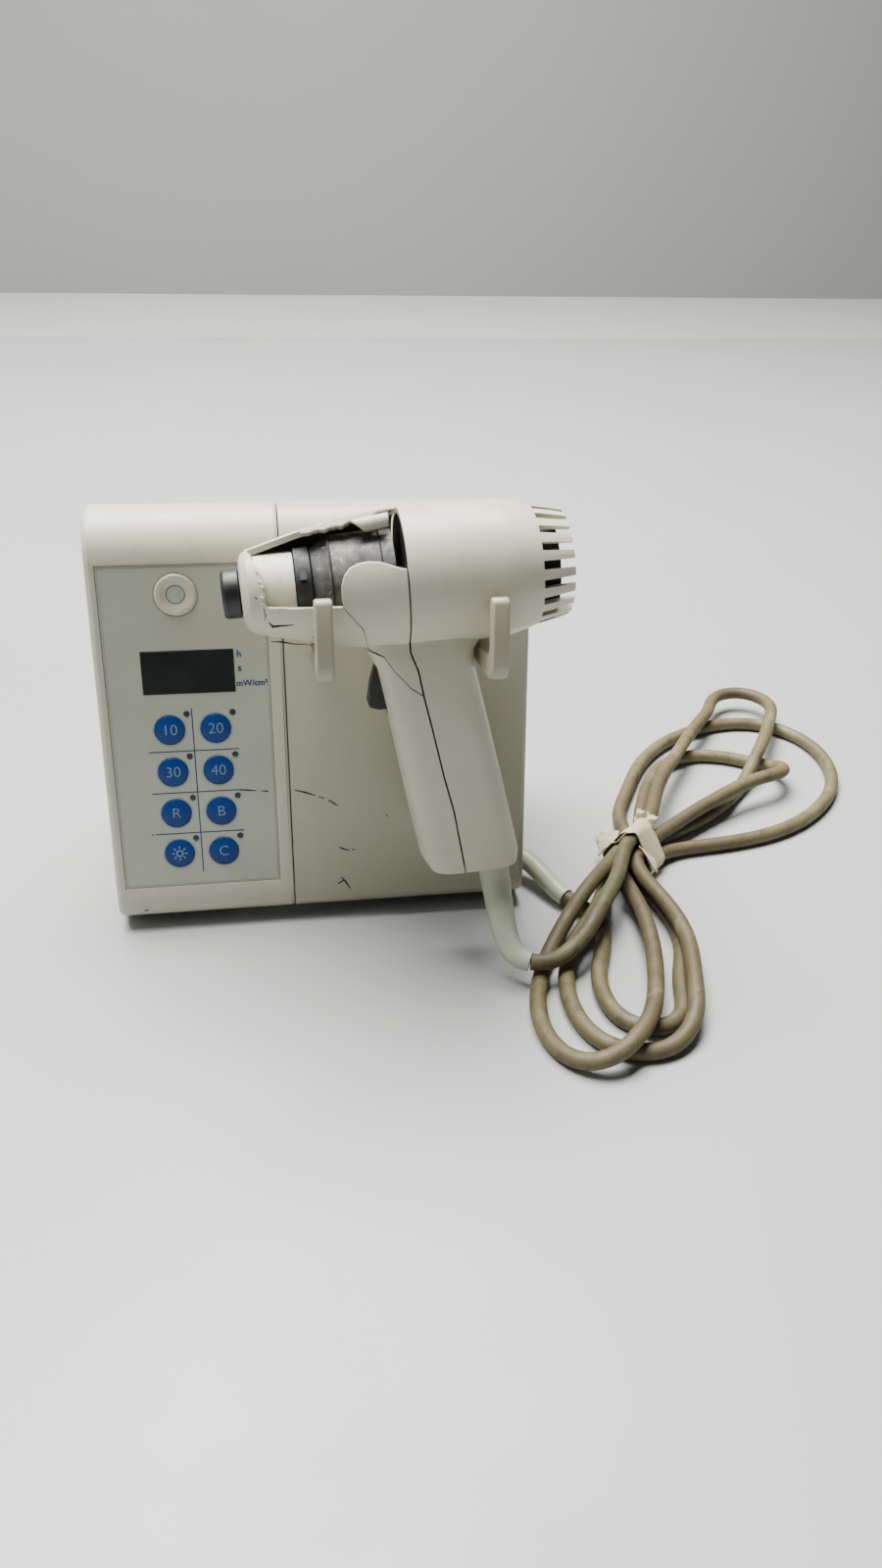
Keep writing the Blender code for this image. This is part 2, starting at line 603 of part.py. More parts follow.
def make_inlet_and_fuse(rear):
    """The mains inlet, a flanged cup with three pins, and the fuse holder beside it."""
    inlet = table_box("mains_inlet", *around(*INLET, 16.0, 12.0, rear + GAP, rear + 2.6), BLACK)
    cut(inlet, table_box("inlet_cup", *around(*INLET, 13.6, 9.6, rear - 20.0, rear + 1.0)), "UNION")
    cut(inlet, table_box("inlet_cavity", *around(*INLET, 12.0, 8.0, rear - 16.0, rear + 9.0)))
    for x, z in ((-7.0, -2.0), (0.0, 2.0), (7.0, -2.0)):
        corners = around(INLET[0] + x, INLET[1] + z, 1.0, 2.0, rear - 17.0, rear - 5.0)
        cut(inlet, table_box("inlet_pin", *corners), "UNION")
    fuse = ((0.0, 6.0), (6.4, 6.0), (7.4, 5.0), (7.4, GAP), (6.0, GAP), (6.0, -22.0), (0.0, -22.0))
    holder = turned("fuse_holder", fuse, BLACK, 20)
    place(holder, TABLE, (FUSE_X, rear, INLET[1]), (-math.pi / 2, 0.0, 0.0))


def make_transformer():
    """A laminated core with two windows, and the coil round its middle leg."""
    (left, right), (near, far) = CORE_X, CORE_Y
    core = table_box("transformer_core", (left, near, 6.4), (right, far, 61.4), STEEL)
    for x in (left + CORE_LEG, right - 2 * CORE_LEG):
        cut(core, table_box("core_window", (x, 40.0, 17.4), (x + CORE_LEG, 90.0, 50.4)))
    edge, bore = CORE_LEG + 0.5, 2 * CORE_LEG - 0.4
    coil = table_box("transformer_coil", (left + edge, 38.0, 17.8), (right - edge, 88.0, 50.0), COPPER)
    cut(coil, table_box("coil_bore", (left + bore, near - GAP, 10.0), (right - bore, far + GAP, 60.0)))


def make_boards():
    """The power board with its heat sink and capacitor, and the control board with its beeper."""
    table_box("power_board", (14.0, 40.0, 12.0), (76.0, 86.0, 13.6), BOARD_GREEN)
    sink = table_box("heat_sink", (50.0, 44.0, 14.0), (74.0, 82.0, 17.0), ALUMINIUM)
    for i in range(4):
        x = 50.0 + 7.0 * i
        cut(sink, table_box("sink_fin", (x, 44.0, 16.0), (x + 3.0, 82.0, 38.0)), "UNION")
    can = ((0.0, 34.0), (8.0, 34.0), (8.0, 0.0), (0.0, 0.0))
    place(turned("smoothing_capacitor", can, BLACK, 16), TABLE, (28.0, 62.0, 14.0))
    place(box("control_board", (12.0, 15.0, 28.0), (64.0, 16.6, 148.0), BOARD_GREEN), FACE)
    buzzer = turned("beeper", ((0.0, 8.0), (6.0, 8.0), (6.0, 0.0), (0.0, 0.0)), BLACK, 16)
    place(buzzer, FACE, (50.0, 17.0, 138.0), (-math.pi / 2, 0.0, 0.0))


def make_chassis():
    """Base plate, feet, rear panel and what is mounted on them."""
    inside = WALL + 3 * GAP
    rear = console_profile()[-1][0]
    make_base(inside, rear)
    make_rear_panel(inside, rear)
    make_inlet_and_fuse(rear)
    make_transformer()
    make_boards()


# ---------------------------------------------------------------- gun
def grip_section(height, front, rear, half_depth, inset=0.0, sides=20):
    """One rounded-square section of the grip."""
    middle = (front + rear) / 2
    half_width = (rear - front) / 2 - inset
    half_depth -= inset
    points = []
    for i in range(sides):
        angle = math.tau * i / sides
        cos, sin = math.cos(angle), math.sin(angle)
        across = math.copysign(abs(cos) ** (2 / GRIP_POWER), cos)
        deep = math.copysign(abs(sin) ** (2 / GRIP_POWER), sin)
        points.append((middle + half_width * across, half_depth * deep, height))
    return points


def loft(name, sections):
    """A closed body through sections that have the same number of points."""
    bm = bmesh.new()
    rings = [[bm.verts.new(mm(point)) for point in section] for section in sections]
    bm.faces.new(rings[0])
    bm.faces.new(rings[-1])
    for low, high in zip(rings, rings[1:]):
        for i in range(len(low)):
            j = (i + 1) % len(low)
            bm.faces.new((low[i], low[j], high[j], high[i]))
    bmesh.ops.recalc_face_normals(bm, faces=bm.faces)
    return new_object(name, bm)


def barrel_profile(inset, ends):
    """The barrel's (radius, station) outline, fan end first, thinned by an inset."""
    start, end = ends
    body = [(radius - inset, station) for station, radius in reversed(BARREL_PROFILE)]
    body = [(radius, min(max(station, start), end)) for radius, station in body]
    body[0] = (body[0][0], end)
    return [(0.0, end), *body, (0.0, start)]


def gun_shapes():
    """The gun's outer form and its hollow, as helpers for the housing pieces."""
    outer = turned("gun_outside", barrel_profile(0.0, (7.0, BARREL_END)), segments=40)
    outer = tool(outer, GUN, (0, 0, 0), (0.0, math.pi / 2, 0.0))
    grip = tool(loft("grip_outside", [grip_section(*s) for s in GRIP_SECTIONS]), GUN)
    cut(outer, grip, "UNION")
    hollow = turned("gun_inside", barrel_profile(SHELL, (9.4, BARREL_END + 8.0)), segments=37)
    hollow = tool(hollow, GUN, (0, 0, 0), (0.0, math.pi / 2, 0.0))
    inner_sections = [grip_section(*s, inset=SHELL) for s in GRIP_SECTIONS[:-1]]
    last = GRIP_SECTIONS[-2]
    inner_sections.append(grip_section(GRIP_SECTIONS[-1][0] + SHELL, *last[1:], inset=SHELL + 0.8))
    grip_hollow = tool(loft("grip_inside", inner_sections), GUN)
    cut(hollow, grip_hollow, "UNION")
    return outer, hollow


def housing_piece(name, outer, hollow, *regions):
    """The stretch of the gun's shell that lies inside every given region."""
    piece = copy_shape(name, outer, HOUSING)
    for region in regions:
        cut(piece, region, "INTERSECT")
    return cut(piece, hollow)


def band(line, side, reach=160.0):
    """The region on one side of a line across the gun, as a closed outline."""
    first, last = line[0], line[-1]
    if side in ("front", "rear"):
        edge = -reach if side == "front" else reach
        return [*line, (edge, last[1]), (edge, first[1])]
    edge = -reach if side == "below" else reach
    left, right = first[0] - reach, last[0] + reach
    return [(left, first[1]), *line, (right, last[1]), (right, edge), (left, edge)]


def shifted(line, by, axis):
    return [(p[0] + by, p[1]) if axis == 0 else (p[0], p[1] + by) for p in line]


def side_cutter(name, outline, near=-60.0, far=60.0):
    return tool(prism(name, outline, near, far, "XZ"), GUN)


def make_gun_housing():
    outer, hollow = gun_shapes()
    ahead = side_cutter("front_region", band(shifted(SEAM_LINE, GAP / 2 - SEAM_GAP, 0), "front"))
    behind = side_cutter("rear_region", band(shifted(SEAM_LINE, GAP / 2, 0), "rear"))
    above = side_cutter("above_crack", band(shifted(CRACK_LINE, CRACK_GAP / 2, 1), "above"))
    below = side_cutter("below_crack", band(shifted(CRACK_LINE, -CRACK_GAP / 2, 1), "below"))

    rear = housing_piece("rear_housing", outer, hollow, behind)
    relief_hole(rear)
    slots = tool(fin_slots(), GUN, (0, 0, 0), (0.0, math.pi / 2, 0.0))
    cut(rear, slots, solver="MANIFOLD")

    grip = housing_piece("grip_front_shell", outer, hollow, ahead, below)
    slot = box("trigger_slot", (46.0, -4.3, -51.5), (64.0, 4.3, -32.0))
    cut(grip, tool(slot, GUN))
    relief_hole(grip)

    nose = housing_piece("nose_cover", outer, hollow, ahead, above)
    bore = disc("collar_opening", 8.4, 0.0, 14.0, segments=24)
    cut(nose, tool(bore, GUN, (0, 0, 0), (0.0, math.pi / 2, 0.0)))
    cut(nose, side_cutter("nose_break", BROKEN_OUTLINE, -60.0, -2.0))
    cut(nose, side_cutter("nose_shoulder", SADDLE_OUTLINE, -60.0, -1.6))

    outline = side_cutter("shoulder_outline", inset_outline(SADDLE_OUTLINE, GAP), -60.0, -2.0)
    housing_piece("shoulder_piece", outer, hollow, ahead, above, outline)


def inset_outline(outline, by):
    """The outline drawn in towards its middle by a small distance."""
    middle = [sum(p[k] for p in outline) / len(outline) for k in (0, 1)]
    result = []
    for point in outline:
        away = Vector((point[0] - middle[0], point[1] - middle[1]))
        away.length = max(away.length - by, 0.0)
        result.append((middle[0] + away.x, middle[1] + away.y))
    return result


def fin_slots():
    """The gaps between the fins of the barrel's end, as one star-shaped cutter."""
    pitch = math.tau / FIN_COUNT
    gap = pitch * 21.4 - FIN_WIDTH
    outline = []
    for i in range(FIN_COUNT):
        for radius, side in ((14.0, -1), (30.0, -1), (30.0, 1), (14.0, 1)):
            angle = pitch * (i + 0.5) + side * math.asin(gap / 2 / radius)
            outline.append((radius * math.cos(angle), radius * math.sin(angle)))
    return prism("fin_slots", outline, FIN_ROOT, BARREL_END + 12.0, "XY")


def relief_hole(shell):
    start = Vector(mm(GUN_RELIEF[0]))
    heading = (Vector(mm(GUN_RELIEF[1])) - start).normalized()
    hole = turned("relief_hole", ((0.0, 16.0), (7.2, 16.0), (7.2, -16.0), (0.0, -16.0)), segments=20)
    CUTTERS.objects.link(hole)
    hole.parent = TABLE
    hole.location = start
    hole.rotation_euler = heading.to_track_quat("Z", "Y").to_euler()
    cut(shell, hole)


def make_gun_insides():
    collar = (
        (8.0, 14.0), (8.0, 6.4), (9.2, 6.4), (9.2, 1.2), (8.4, 0.0), (5.0, 0.0), (5.0, 14.0),
    )
    along_barrel(turned("light_guide_collar", collar, BLACK, 24, closed=True), GUN)
    along_barrel(ring("filter_tube", 13.5, 11.6, 12.4, 26.8, WHITE, 28), GUN)
    along_barrel(disc("heat_filter", 11.2, 21.8, 24.8, LENS, 24), GUN)
    along_barrel(ring("filter_ring", 15.0, 11.0, 27.1, 32.9, BLACK, 28), GUN)
    reflector = (
        (19.3, 63.4), (18.4, 40.4), (17.4, 39.9), (13.9, 33.2),
        (12.5, 33.2), (16.2, 40.7), (17.2, 41.3), (18.0, 63.4),
    )
    along_barrel(turned("lamp_housing", reflector, LAMP_METAL, 28, closed=True), GUN)
    bulb = (
        (0.0, 73.0), (4.4, 73.0), (4.8, 64.0), (11.5, 59.0), (15.8, 51.0), (15.8, 49.4), (14.4, 49.4),
        (10.0, 56.0), (4.0, 60.0), (2.2, 60.0), (2.2, 52.0), (0.0, 51.0),
    )
    along_barrel(turned("lamp_bulb", bulb, BULB_GLASS, 20), GUN)
    along_barrel(ring("lamp_disc", 23.2, 6.4, 67.2, 68.6, BLACK, 32), GUN)
    place(box("lamp_socket", (73.4, -8.0, -5.5), (86.0, 8.0, 5.5), WHITE), GUN)

    frame = ring("fan_frame", 18.0, 16.6, 104.0, 124.0, BLACK, 28)
    along_barrel(frame, GUN)
    hub = disc("fan_hub", 8.0, 119.0, 123.4, segments=20)
    cut(frame, tool(hub, GUN, (0, 0, 0), (0.0, math.pi / 2, 0.0)), "UNION")
    for i in range(3):
        strut = box("fan_strut", (0.0, -1.5, 119.6), (17.2, 1.5, 122.8))
        spoke = tool(strut, GUN, (0, 0, 0), (0.0, math.pi / 2, 0.0))
        spoke.rotation_mode = "QUATERNION"
        turn = Matrix.Rotation(math.pi / 2, 3, "Y") @ Matrix.Rotation(math.tau * i / 3, 3, "Z")
        spoke.rotation_quaternion = turn.to_quaternion()
        cut(frame, spoke, "UNION")

    outline = []
    blades = 7
    for i in range(blades):
        for radius, offset in ((7.2, -0.34), (7.2, -0.1), (15.6, -0.045), (15.6, 0.045), (7.2, 0.1)):
            angle = math.tau * i / blades + offset
            outline.append((radius * math.cos(angle), radius * math.sin(angle)))
    rotor = prism("fan_rotor", outline, -4.5, 4.5, "XY", BLACK, twist=math.radians(28.0))
    along_barrel(rotor, GUN, 112.0)


def make_trigger():
    """The trigger, its switch and spring, in the front of the grip."""
    blade = (
        (-5.0, 3.2), (2.6, 3.2), (2.6, -6.0), (0.6, -13.6),
        (-5.0, -13.6), (-8.3, -12.4), (-8.9, -10.5), (-7.2, -3.0),
    )
    trigger = prism("trigger", blade, -3.9, 3.9, "XZ", BLACK)
    place(trigger, GUN, (TRIGGER_PIVOT[0], 0.0, TRIGGER_PIVOT[1]))
    switch = box("trigger_switch", (65.5, -5.0, -58.0), (76.0, 5.0, -36.0), BLACK)
    place(switch, GUN)
    turns, sides, radius = 4, 10, 1.9
    start, length, height = 62.3, 2.6, -42.0
    coil = []
    for i in range(turns * sides + 1):
        angle = math.tau * i / sides
        station = start + length * i / (turns * sides)
        coil.append((station, radius * math.cos(angle), height + radius * math.sin(angle)))
    tube("trigger_spring", coil, 0.25, STEEL, GUN, resolution=0)


# ---------------------------------------------------------------- lead
def tie_pass(strand, upwards):
    """The route points of a strand through the tape band."""
    across, height = STRANDS[strand]
    points = []
    for step in (-TIE_HALF_LENGTH, 0.0, TIE_HALF_LENGTH):
        x = TIE_CENTRE[0] + across * TIE_ACROSS[0] + step * TIE_ALONG[0]
        y = TIE_CENTRE[1] + across * TIE_ACROSS[1] + step * TIE_ALONG[1]
        points.append((x, y, height))
    return points if upwards else points[::-1]


def beyond(control, reach):
    """A point a short way past the end of a strain relief."""
    before, end = (Vector(point) for point in bezier(control, RELIEF_STEPS)[-2:])
    return tuple(end + (end - before).normalized() * reach)


def cord_route():
    route = [beyond(GUN_RELIEF, RELIEF_GAP), beyond(GUN_RELIEF, RELIEF_LEAD)]
    route += GUN_LEAD + tie_pass("gun", True) + LOBE_TALL + tie_pass("first_back", False)
    route += LOOP_WIDE + tie_pass("second", True) + LOBE_SHORT + tie_pass("second_back", False)
    route += LOOP_NARROW + tie_pass("third", True) + LOBE_FLAT + tie_pass("third_back", False)
    return route + CONSOLE_LEAD + [beyond(CONSOLE_RELIEF, RELIEF_LEAD), beyond(CONSOLE_RELIEF, RELIEF_GAP)]


def strain_relief(name, control, thick, thin):
    """A tapered sleeve along a Bezier curve."""
    radii = [thick + (thin - thick) * i / RELIEF_STEPS for i in range(RELIEF_STEPS + 1)]
    tube(name, bezier(control, RELIEF_STEPS), 1.0, RELIEF, TABLE, 3, radii)


def make_lead():
    radius = CORD_DIAMETER / 2
    route = cord_route()
    points = smooth_curve(route, CORD_POINTS)
    points = [points[0], route[1], *points[1:-1], route[-2], points[-1]]
    points = [(x, y, max(z, radius + 0.1)) for x, y, z in points]
    tube("lead", points, radius, CORD, TABLE)
    strain_relief("gun_strain_relief", GUN_RELIEF, 6.6, 4.4)
    strain_relief("console_strain_relief", CONSOLE_RELIEF, 5.0, 4.3)


def rounded_triangle(offset):
    """The outline of a sleeve drawn tight round the three corner strands, across and height."""
    corners = (STRANDS["third_back"], STRANDS["gun"], STRANDS["third"])
    side = math.atan2(corners[1][1] - corners[0][1], corners[0][0])
    turns = ((-math.pi / 2, math.pi / 2 - side), (math.pi / 2 - side, math.pi / 2 + side))
    turns = (*turns, (math.pi / 2 + side, 1.5 * math.pi))
    outline = []
    for corner, (start, end) in zip(corners, turns):
        outline += arc(corner, offset, start, end, 4)
    return outline


def make_tape():
    """The band of tape that holds the folded lead together."""

    bm = bmesh.new()
    rings = []
    for step in (-TAPE_HALF_WIDTH, TAPE_HALF_WIDTH):
        for offset in TAPE_OFFSETS:
            ring_points = []
            for across, height in rounded_triangle(offset):
                x = TIE_CENTRE[0] + step * TIE_ALONG[0] + across * TIE_ACROSS[0]
                y = TIE_CENTRE[1] + step * TIE_ALONG[1] + across * TIE_ACROSS[1]
                ring_points.append(bm.verts.new(mm((x, y, height))))
            rings.append(ring_points)
    inner_low, outer_low, inner_high, outer_high = rings
    for a, b in (
        (inner_low, outer_low), (outer_low, outer_high), (outer_high, inner_high), (inner_high, inner_low),
    ):
        for i in range(len(a)):
            j = (i + 1) % len(a)
            bm.faces.new((a[i], a[j], b[j], b[i]))
    bmesh.ops.recalc_face_normals(bm, faces=bm.faces)
    place(new_object("lead_tape", bm, TAPE), TABLE)


# ---------------------------------------------------------------- scene
for old in list(bpy.data.objects):
    bpy.data.objects.remove(old, do_unlink=True)

PARTS = bpy.data.collections.new("curing_lamp")
CUTTERS = bpy.data.collections.new("cutters")
for group in (PARTS, CUTTERS):
    bpy.context.scene.collection.children.link(group)

HOUSING = material("housing_plastic", (0.76, 0.74, 0.66), 0.42)
OVERLAY = material("overlay_film", (0.68, 0.69, 0.67), 0.38)
DARK_GLASS = material("display_glass", (0.02, 0.03, 0.03), 0.15)
LENS = material("clear_lens", (0.62, 0.66, 0.62), 0.2)
KEY_BLUE = material("key_blue", (0.02, 0.22, 0.75), 0.4)
BLACK = material("black_plastic", (0.02, 0.02, 0.022), 0.45)
WHITE = material("white_ceramic", (0.85, 0.84, 0.8), 0.5)
LAMP_METAL = material("lamp_metal", (0.33, 0.32, 0.3), 0.35, 0.9)
BULB_GLASS = material("bulb_glass", (0.75, 0.76, 0.76), 0.1)
STEEL = material("sheet_steel", (0.55, 0.56, 0.57), 0.4, 1.0)
ALUMINIUM = material("aluminium", (0.7, 0.71, 0.72), 0.4, 1.0)
COPPER = material("copper_winding", (0.6, 0.3, 0.16), 0.4, 0.9)
BOARD_GREEN = material("circuit_board", (0.03, 0.2, 0.09), 0.5)
RUBBER = material("rubber", (0.03, 0.03, 0.03), 0.8)
CORD = material("lead_jacket", (0.6, 0.54, 0.4), 0.5)
RELIEF = material("relief_rubber", (0.62, 0.63, 0.55), 0.5)
TAPE = material("tape", (0.75, 0.71, 0.6), 0.6)

TABLE = bpy.data.objects.new("table_frame", None)
PARTS.objects.link(TABLE)
TABLE.location = (-ORIGIN[0] * MM, -ORIGIN[1] * MM, 0.0)
FACE = bpy.data.objects.new("face_frame", None)
place(FACE, TABLE, (0.0, 0.0, FACE_LIFT), (-FACE_LEAN, 0.0, 0.0))
GUN = bpy.data.objects.new("gun_frame", None)
place(GUN, FACE, BARREL_NOSE, (0.0, -BARREL_DROOP, 0.0))

make_left_shell()
make_right_shell()
make_front_panel()
make_power_switch()
make_hooks()
make_chassis()
make_gun_housing()
make_gun_insides()
make_trigger()
make_lead()
make_tape()
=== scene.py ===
"""Looks of a light-curing lamp: a pistol-shaped light gun in the hooks of its tabletop console.

Lengths are in millimetres in three frames and become metres where a mesh is made. The table
frame stands on the table at the console's left front. The face frame lies on the console's
raked front: X right, Y into the console, Z up the face. The gun frame has +X along the barrel.
"""
import json
import math

import bmesh
import bpy
import numpy as np
from mathutils import Matrix, Vector, noise
from mathutils.bvhtree import BVHTree

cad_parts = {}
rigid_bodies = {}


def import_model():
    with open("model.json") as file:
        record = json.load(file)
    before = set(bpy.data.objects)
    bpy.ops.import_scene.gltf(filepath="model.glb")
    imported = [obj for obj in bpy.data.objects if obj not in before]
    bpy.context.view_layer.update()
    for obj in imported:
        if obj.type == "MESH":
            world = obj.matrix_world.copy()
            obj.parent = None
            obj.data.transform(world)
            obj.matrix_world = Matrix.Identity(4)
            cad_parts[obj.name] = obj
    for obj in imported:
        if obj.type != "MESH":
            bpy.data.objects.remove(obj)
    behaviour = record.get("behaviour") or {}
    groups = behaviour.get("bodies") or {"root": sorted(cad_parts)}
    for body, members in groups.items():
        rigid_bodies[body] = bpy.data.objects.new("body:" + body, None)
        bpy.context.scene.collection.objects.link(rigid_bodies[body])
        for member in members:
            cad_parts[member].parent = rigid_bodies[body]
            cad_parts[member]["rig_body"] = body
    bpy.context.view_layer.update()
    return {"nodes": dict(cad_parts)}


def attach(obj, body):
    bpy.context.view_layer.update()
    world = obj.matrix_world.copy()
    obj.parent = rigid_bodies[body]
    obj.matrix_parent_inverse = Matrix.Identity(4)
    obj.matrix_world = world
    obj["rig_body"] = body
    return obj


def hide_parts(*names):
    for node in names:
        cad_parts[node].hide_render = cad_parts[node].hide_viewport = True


MM = 0.001                          # one millimetre in metres
FACE_LEAN = math.radians(10.0)
FACE_LIFT = 1.76
ORIGIN = (90.195, 36.765)           # the part frame's origin on the table
BARREL_NOSE = (53.6, -33.0, 151.24)
BARREL_DROOP = math.radians(3.87)
BARREL_PROFILE = (                  # station along the barrel, outer radius
    (7.0, 11.8), (8.0, 13.8), (10.0, 15.4), (29.0, 20.5), (46.0, 24.0), (62.0, 26.0),
    (102.0, 26.0),
)
SEAM_X = 75.1

PANEL_X = (4.0, 69.7)
PANEL_Z = (19.5, 157.4)
PANEL_FRONT = 0.3                   # depth of the overlay's front
KEY_COLUMNS = (27.9, 46.5)
KEY_ROWS = (89.7, 71.4, 53.1, 34.8)
KEY_NAMES = (
    ("key_10", "key_20"), ("key_30", "key_40"), ("key_r", "key_b"), ("key_mode", "key_c"),
)
KEY_RADIUS = 6.15
LED_OFFSET = (7.2, 6.6)             # from a key's centre to its indicator dot
PRINT_THICKNESS = 0.04
KEY_PRINT = -0.07                   # depth of the print on the keys

CORD_DIAMETER = 7.0
TIE_CENTRE = (238.0, 26.0)
TIE_ALONG = (0.700, 0.714)
TIE_ACROSS = (0.714, -0.700)
TIE_HALF_LENGTH = 7.5

for old in list(bpy.data.objects):
    bpy.data.objects.remove(old, do_unlink=True)
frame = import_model()

TABLE = Matrix.Translation((-ORIGIN[0] * MM, -ORIGIN[1] * MM, 0.0))
FACE = TABLE @ Matrix.Translation((0.0, 0.0, FACE_LIFT * MM)) @ Matrix.Rotation(-FACE_LEAN, 4, "X")
GUN = FACE @ Matrix.Translation([v * MM for v in BARREL_NOSE])
GUN = GUN @ Matrix.Rotation(-BARREL_DROOP, 4, "Y")


def at(matrix, x, y, z):
    """A point given in millimetres in one of the frames, as a world vector in metres."""
    return matrix @ Vector((x * MM, y * MM, z * MM))


# ---------------------------------------------------------------- camera, lights and stage
def make_camera():
    data = bpy.data.cameras.new("camera")
    data.sensor_fit = "VERTICAL"
    data.sensor_height = 36.0
    data.lens = 27.0
    data.clip_start = 0.02
    camera = bpy.data.objects.new("camera", data)
    bpy.context.scene.collection.objects.link(camera)
    back = -Vector((0.1458, 0.8539, -0.4996)).normalized()
    right = Vector((0.9879, -0.1528, 0.0269)).normalized()
    up = back.cross(right).normalized()
    turn = Matrix((right, up, back)).transposed()
    camera.matrix_world = Matrix.Translation(at(TABLE, 66.3, -423.9, 314.9)) @ turn.to_4x4()
    bpy.context.scene.camera = camera


def area_light(name, place, aim, size, power, color):
    data = bpy.data.lights.new(name, "AREA")
    data.shape = "RECTANGLE"
    data.size, data.size_y = size
    data.energy = power
    data.color = color
    light = bpy.data.objects.new(name, data)
    bpy.context.scene.collection.objects.link(light)
    light.location = place
    light.rotation_euler = (Vector(aim) - Vector(place)).to_track_quat("-Z", "Y").to_euler()


def make_lights():
    world = bpy.data.worlds.new("world")
    bpy.context.scene.world = world
    world.use_nodes = True
    background = world.node_tree.nodes["Background"]
    background.inputs["Color"].default_value = (0.86, 0.93, 1.0, 1.0)
    background.inputs["Strength"].default_value = 0.085
    area_light(
        "ceiling", place=(-0.25, 0.5, 1.8), aim=(0.0, 0.1, 0.0),
        size=(1.7, 1.1), power=182.0, color=(1.0, 0.995, 0.98),
    )
    area_light(
        "left_soft", place=(-1.5, -0.3, 1.3), aim=(0.0, 0.0, 0.1),
        size=(0.9, 0.9), power=4.0, color=(0.97, 0.985, 1.0),
    )


# ---------------------------------------------------------------- node helpers
class Nodes:
    """A short way to write a material's node tree."""

    def __init__(self, name):
        self.mat = bpy.data.materials.new(name)
        self.mat.use_nodes = True
        self.tree = self.mat.node_tree
        self.shader = self.tree.nodes["Principled BSDF"]
        self.coords = self.tree.nodes.new("ShaderNodeTexCoord").outputs["Object"]

    def link(self, source, target):
        if hasattr(source, "links"):
            self.tree.links.new(source, target)
        else:
            target.default_value = source

    def noise(self, scale, detail=4.0, rough=0.55, distortion=0.0, vector=None):
        node = self.tree.nodes.new("ShaderNodeTexNoise")
        node.inputs["Scale"].default_value = scale
        node.inputs["Detail"].default_value = detail
        node.inputs["Roughness"].default_value = rough
        node.inputs["Distortion"].default_value = distortion
        self.link(vector or self.coords, node.inputs["Vector"])
        return node.outputs["Fac"]

    def cells(self, scale):
        node = self.tree.nodes.new("ShaderNodeTexVoronoi")
        node.feature = "F1"
        node.inputs["Scale"].default_value = scale
        self.link(self.coords, node.inputs["Vector"])
        return node.outputs["Distance"]

    def ramp(self, fac, *stops):
        """Stops are (position, value or colour)."""
        node = self.tree.nodes.new("ShaderNodeValToRGB")
        while len(node.color_ramp.elements) < len(stops):
            node.color_ramp.elements.new(0.5)
        for element, (position, value) in zip(node.color_ramp.elements, stops):
            element.position = position
            color = value if hasattr(value, "__len__") else (value, value, value)
            element.color = (*color, 1.0)
        self.link(fac, node.inputs["Fac"])
        return node.outputs["Color"]

    def mix(self, fac, a, b):
        node = self.tree.nodes.new("ShaderNodeMix")
        node.data_type = "RGBA"
        node.blend_type = "MIX"
        node.clamp_factor = True
        self.link(fac, node.inputs["Factor"])
        for value, name in ((a, "A"), (b, "B")):
            socket = [s for s in node.inputs if s.name == name and s.type == "RGBA"][0]
            if hasattr(value, "links"):
                self.tree.links.new(value, socket)
            else:
                socket.default_value = (*value, 1.0)
        return [s for s in node.outputs if s.type == "RGBA"][0]

    def times(self, a, b):
        node = self.tree.nodes.new("ShaderNodeMath")
        node.operation = "MULTIPLY"
        self.link(a, node.inputs[0])
        self.link(b, node.inputs[1])
        return node.outputs[0]

    def mottle(self, base, other, scale, detail, start, end, **more):
        """One tone that drifts into another with a cloud of noise."""
        cloud = self.noise(scale, detail, **more)
        return self.mix(self.ramp(cloud, (start, 0.0), (end, 1.0)), base, other)

    def stretched(self, scale, turn=(0.0, 0.0, 0.0)):
        """Object coordinates turned and scaled differently along each axis."""
        node = self.tree.nodes.new("ShaderNodeMapping")
        node.inputs["Scale"].default_value = scale
        node.inputs["Rotation"].default_value = turn
        self.link(self.coords, node.inputs["Vector"])
        return node.outputs["Vector"]

    def bump(self, height, strength, distance=0.0002, below=None):
        node = self.tree.nodes.new("ShaderNodeBump")
        node.inputs["Strength"].default_value = strength
        node.inputs["Distance"].default_value = distance
        self.link(height, node.inputs["Height"])
        if below:
            self.link(below, node.inputs["Normal"])
        return node.outputs["Normal"]

    def finish(self, color=None, rough=None, normal=None, **sockets):
        if color is not None:
            color = color if hasattr(color, "links") else (*color, 1.0)
            self.link(color, self.shader.inputs["Base Color"])
        if rough is not None:
            self.link(rough, self.shader.inputs["Roughness"])
        if normal is not None:
            self.link(normal, self.shader.inputs["Normal"])
        for name, value in sockets.items():
            self.shader.inputs[name.replace("_", " ")].default_value = value
        return self.mat


